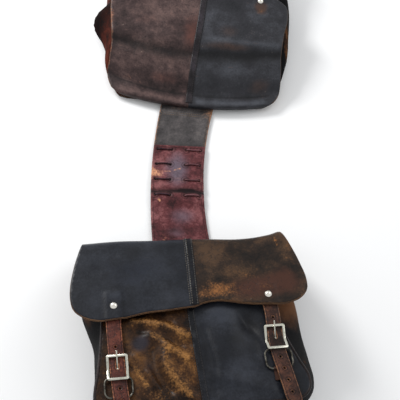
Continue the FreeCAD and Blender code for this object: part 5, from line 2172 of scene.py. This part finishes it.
def far_bag() -> Bag:
    """The bag that lies back, its flap's top towards the yoke.

    Returns:
        The far bag.
    """
    lie = Lie.of("far", (98.21, 42.02), 10)
    q0 = -122

    def edge_y(x: Array) -> Array:
        """The hinge line's bow."""
        return -12 + 22 * np.abs((x - 8) / 150) ** 2.2

    def tuck(x: Array) -> Array:
        """The leather's end inside the bag."""
        return lie.local(x, 16, 6)

    def low(x: Array) -> Array:
        """The foot of the roll at the hinge."""
        return lie.local(x, edge_y(x), 6.1)

    def high(x: Array) -> Array:
        """The top of the roll at the hinge."""
        return lie.local(x, edge_y(x) - 0.5, 19 - 3 * np.abs(x / 150) ** 2)

    def valley(x: Array) -> Array:
        """The crease beyond the roll."""
        return lie.local(x, edge_y(x) + 25 - 4 * x / 150, 17 + 3 * np.abs(x / 150) ** 2)

    hinge = (
        Station(q0 - 16, 1, tuck), Station(q0, 5.5, low), Station(q0 + 13, 6, high),
        Station(q0 + 39, 4.5, valley))
    seam = [(-138, -6), (-122, -6), (-40, -3), (0, 0), (60, 5), (125, 9)]
    top = [(x, q) for q, x in seam]
    seam_run = smooth_run(top, 12)[::-1].tolist()
    start = q0 - 15
    left = [
        [(-6, start), (118, start)],
        [
            (118, start), (126, q0), (143, q0 + 12), (157, q0 + 32), (160, -50), (158, -4), (162, 41),
            (168, 80), (165, 100), (152, 113), (132, 122), (108, 126), (60, 125), (9, 125)],
        seam_run]
    right = [
        [(-6, start), (-118, start)],
        [
            (-118, start), (-126, q0), (-143, q0 + 12), (-157, q0 + 32), (-157, -50), (-156, 0),
            (-161, 40), (-165, 83), (-163, 101), (-152, 114), (-130, 123), (-105, 126), (-50, 126),
            (9, 125)],
        seam_run]
    left[2][0], right[2][0] = (9, 125), (9, 125)
    left[2][-1], right[2][-1] = (-6, start), (-6, start)
    # Painted shade: a dark band in the hollow at the ridge, a dark line in the crease beyond the roll, and shade under
    # the roll at the hinge.
    painted_ridge_shade = Streak(((-156, 4), (-100, -8), (-48, -12), (20, -10), (82, -10), (150, -4)), 13, 0.85)
    painted_crease_shade = Streak(((-140, q0 + 36), (0, q0 + 38), (140, q0 + 36)), 2.6, 0.7)
    painted_roll_shade = Streak(((-140, q0 + 3), (0, q0 + 4), (140, q0 + 3)), 5, 0.4)
    # brown and blue: dark adds the painted shade above, painted shade round the snap cap on blue, and a darker spot at
    # the hinge corner on brown; light is painted highlights on the raised bands, the roll and the strap head.
    brown = Paint(
        wear=(
            Streak(((-160, -60), (-157, 10), (-162, 60)), 3.5, 0.5), Dab(-2, 35, 8, 14, 0.15),
            Dab(-120, -75, 10, 5, 0.4), Dab(-40, 50, 40, 24, 0.05)),
        dark=(painted_ridge_shade, painted_crease_shade, painted_roll_shade, Dab(-150, -85, 10, 18, 0.5)),
        tint=(Dab(-8, 30, 26, 44, 0.7), Dab(-50, -62, 60, 20, 0.5), Dab(-100, 50, 40, 26, 0.4)),
        light=(
            Dab(-90, 70, 50, 30, 0.45), Dab(-60, -40, 60, 16, 0.3),
            Streak(((-130, q0 + 22), (-20, q0 + 24)), 6, 0.7), Dab(-130, -60, 20, 18, 0.4)))
    blue = Paint(
        wear=(Dab(116, 88, 12, 12, 0.35), Dab(130, -85, 12, 6, 0.25)),
        dark=(painted_ridge_shade, painted_crease_shade, painted_roll_shade, Dab(116, 110, 8, 8, 0.4)),
        tint=(
            Dab(116, 95, 14, 16, 1), Dab(60, 40, 30, 20, 0.5), Dab(60, 6, 60, 10, 0.6),
            Dab(120, -66, 30, 22, 0.6)),
        light=(
            Dab(70, -40, 60, 20, 0.35), Dab(50, 70, 40, 24, 0.3), Streak(((20, 20), (150, 14)), 6, 0.4),
            Streak(((10, q0 + 24), (130, q0 + 22)), 6, 0.7), Dab(112, 80, 20, 14, 0.4)))
    folds = (
        Streak(((80, 135), (50, 150), (20, 175)), 8, 2.4),
        Streak(((70, 180), (50, 210), (20, 240)), 8, 2), Dab(-60, 180, 26, 40, 2),
        Dab(-70, 130, 14, 20, -2.2))
    # front_brown and front_black: dark is a painted shadow under the flap's edge and painted shade in the hollow, and
    # darker along the left edge; light is painted highlights on the folds.
    front_brown = Paint(
        wear=(
            Streak(((80, 135), (50, 150), (20, 175)), 7, 0.5),
            Streak(((70, 180), (50, 210), (20, 240)), 7, 0.45)),
        dark=(Dab(120, 190, 14, 50, 0.4), Dab(60, 118, 80, 8, 0.4)),
        light=(Dab(40, 200, 30, 40, 0.4),))
    front_black = Paint(dark=(Dab(-80, 140, 14, 24, 0.5),), light=(Dab(-45, 190, 26, 40, 0.5),))
    outer = [
        (126, 0), (128, 60), (133, 120), (140, 171), (147, 210), (150, 234), (148, 250), (137, 261),
        (116, 265), (60, 264)]
    return Bag(
        name="far", lie=lie, hinge=hinge, ridge_soft=26,
        ridge_line=[(-165, 2), (-80, 0), (0, -2), (80, -1), (165, 2)],
        flap_left=left, flap_right=right, flap_seam=seam, front_left=outer,
        front_right=[(-x, s) for x, s in outer],
        front_seam=[(0, 2), (60, 4), (130, 6), (200, 3), (264, 2)],
        back_half=[
            (120, 5), (134, 9), (143, 20), (148, 60), (149, 150), (149, 235), (146, 262), (132, 279),
            (110, 284), (60, 285)],
        bulge_left=[(0, 6), (120, 6), (175, 14), (240, 32), (290, 34), (330, 34), (370, 24), (400, 14)],
        bulge_right=[
            (0, 6), (120, 6), (175, 16), (220, 32), (262, 36), (284, 46), (292, 54), (300, 47),
            (325, 33), (365, 28), (400, 16)],
        finishes={
            "flap_left": "far_flap_blue",
            "flap_right": "far_flap_brown",
            "front_left": "far_front_brown",
            "front_right": "far_front_black",
            "gusset_left": "gusset_black",
            "gusset_right": "gusset_red",
            "gusset_bottom": "gusset_black",
            "strip": "seam_dark",
            "thread": "dark_thread",
            "front_thread": "dark_thread"},
        paints={
            "flap_left": blue,
            "flap_right": brown,
            "front_left": front_brown,
            "front_right": front_black,
            "gusset_right": Paint(
                dark=(Dab(-293, 45, 16, 60, 0.95), Dab(-293, 60, 34, 16, 0.6),),
                wear=(Streak(((-400, 4), (-200, 4)), 4, 0.3),)),
            "gusset_left": Paint(wear=(Dab(300, 40, 22, 20, 0.9), Dab(330, 44, 10, 14, 0.7)))},
        reliefs={
            "flap": (
                Dab(-60, 40, 40, 30, 0.8), Dab(70, 50, 40, 30, 0.8),
                Streak(((-150, -2), (0, -12), (150, -6)), 11, -3),
                Streak(((-150, 22), (0, 16), (150, 20)), 13, 1.6), Dab(-110, 12, 26, 10, -1.5),
                Dab(60, 12, 40, 10, 1.2), Dab(-110, -78, 20, 12, 1.6),
                Streak(((-140, -50), (140, -50)), 20, 2.6)),
            "front": folds,
            "gusset_right": (Dab(-290, 46, 14, 16, 3),)},
        snap=110, strap_start=87, blend_low=7, blend_high=26, strip_from=-104)


def closures(bag: Bag) -> list[Closure]:
    """The two closures of a bag.

    Args:
        bag: the bag.

    Returns:
        The left closure and the right one.
    """
    made = []
    near = bag.name == "near"
    facts = (
        (
            "left", 1, 281, 201, (-1.8, 1.7, 2.7, 3.7), "strap_red",
            [(80, 0), (108, 0.3), (126, 1.6), (150, 1.6), (178, 0.8), (201, 0), (222, -1), (281, -6)]),
        (
            "right", -1, 280, 174, (-1.8, 1.7, 2.7, 3.7, 4.7), "strap_brown",
            [(80, 0), (108, 0), (134, -1.5), (160, -0.4), (174, 0), (194, -0.4), (220, -4), (280, -12)]))
    for side, sign, end, buckle, steps, finish, lean in facts:
        paint = Paint(
            wear=(
                Dab(0, bag.snap + 28, 12, 16, 0.12), Dab(4, end - 30, 10, 24, 0.1),
                Dab(6 * sign, buckle - 30, 4, 20, 0.15)),
            dark=(Dab(0, buckle - 17, 14, 3, 0.4), Dab(0, buckle + 19, 14, 4, 0.4)))
        straight = lean if near else [(80, 0), (buckle, 0), (end, -3)]
        made.append(Closure(
            bag=bag.name, side=side, lie=bag.lie, middle=sign * bag.strap_x,
            strap_start=bag.strap_start, strap_end=end, buckle=buckle, hole_steps=steps, lean=straight,
            finish=finish, paint=paint))
    return made


# ---------------------------------------------------------------- studio


@dataclass(frozen=True)
class Studio:
    """A pale floor, soft light and the camera."""

    aim: tuple[float, float, float] = (12.59, -96.54, 30.0)
    elevation: float = 60.02
    yaw: float = -6.13
    roll: float = 7.83
    distance: float = 1374.8
    lens: float = 73.56
    floor_size: float = 4.0

    def build(self) -> None:
        """Set up the floor, the light and the camera."""
        self._floor()
        self._light()
        self._camera()

    def _floor(self) -> None:
        """A wide pale floor just under the bags."""
        mesh = bpy.data.meshes.new("studio_floor")
        h = self.floor_size / 2
        mesh.from_pydata([(-h, -h, -0.0003), (h, -h, -0.0003), (h, h, -0.0003), (-h, h, -0.0003)], [], [(0, 1,
                2, 3)])
        mesh.materials.append(WARDROBE.get("floor"))
        floor = bpy.data.objects.new("studio_floor", mesh)
        bpy.context.scene.collection.objects.link(floor)
        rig.stage(floor)

    def _light(self) -> None:
        """An even white sky and two large soft lamps."""
        world = bpy.data.worlds.new("studio_sky")
        world.use_nodes = True
        sky = world.node_tree.nodes["Background"]
        sky.inputs["Color"].default_value = (0.97, 0.985, 1.0, 1.0)
        sky.inputs["Strength"].default_value = 0.72
        bpy.context.scene.world = world
        lamps = (("key", (-1.1, 1.0, 1.1), 26.0, 0.6), ("fill", (1.2, 0.7, 1.3), 5.0, 1.0))
        for name, place, energy, size in lamps:
            lamp = bpy.data.lights.new(name, "AREA")
            lamp.energy, lamp.size = energy, size
            holder = bpy.data.objects.new(name, lamp)
            holder.location = place
            holder.rotation_euler = (-Vector(place)).to_track_quat("-Z", "Y").to_euler()
            bpy.context.scene.collection.objects.link(holder)

    def _camera(self) -> None:
        """A long lens above the near bag."""
        e, yaw, roll = (math.radians(angle) for angle in (self.elevation, self.yaw, self.roll))
        back = Vector((math.sin(yaw) * math.cos(e), -math.cos(yaw) * math.cos(e), math.sin(e)))
        right = Vector((math.cos(yaw), math.sin(yaw), 0.0))
        up = back.cross(right)
        tipped_right = math.cos(roll) * right + math.sin(roll) * up
        tipped_up = -math.sin(roll) * right + math.cos(roll) * up
        camera = bpy.data.cameras.new("studio_camera")
        camera.lens, camera.sensor_width = self.lens, 36.0
        camera.clip_end = 20.0
        holder = bpy.data.objects.new("studio_camera", camera)
        turn = Matrix((tipped_right, tipped_up, back)).transposed().to_4x4()
        holder.matrix_world = Matrix.Translation((Vector(self.aim) + back * self.distance) * MM) @ turn
        bpy.context.scene.collection.objects.link(holder)
        bpy.context.scene.camera = holder
        bpy.context.scene.view_settings.view_transform = "Standard"


def main() -> None:
    """Build the saddlebags and the studio."""
    logging.basicConfig(level=logging.INFO, format="%(message)s")
    near, far = near_bag(), far_bag()
    for bag in (near, far):
        bag.build()
        for closure in closures(bag):
            closure.build()
    Yoke(near.lie, far.lie).build()
    Studio().build()
    sizes = {"cad": [list(corner) for corner in CAD_BOX], "visual": [list(corner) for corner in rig.bounds()]}
    with open("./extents.json", "w", encoding="utf-8") as record:
        json.dump(sizes, record)


if __name__ == "__main__":
    main()
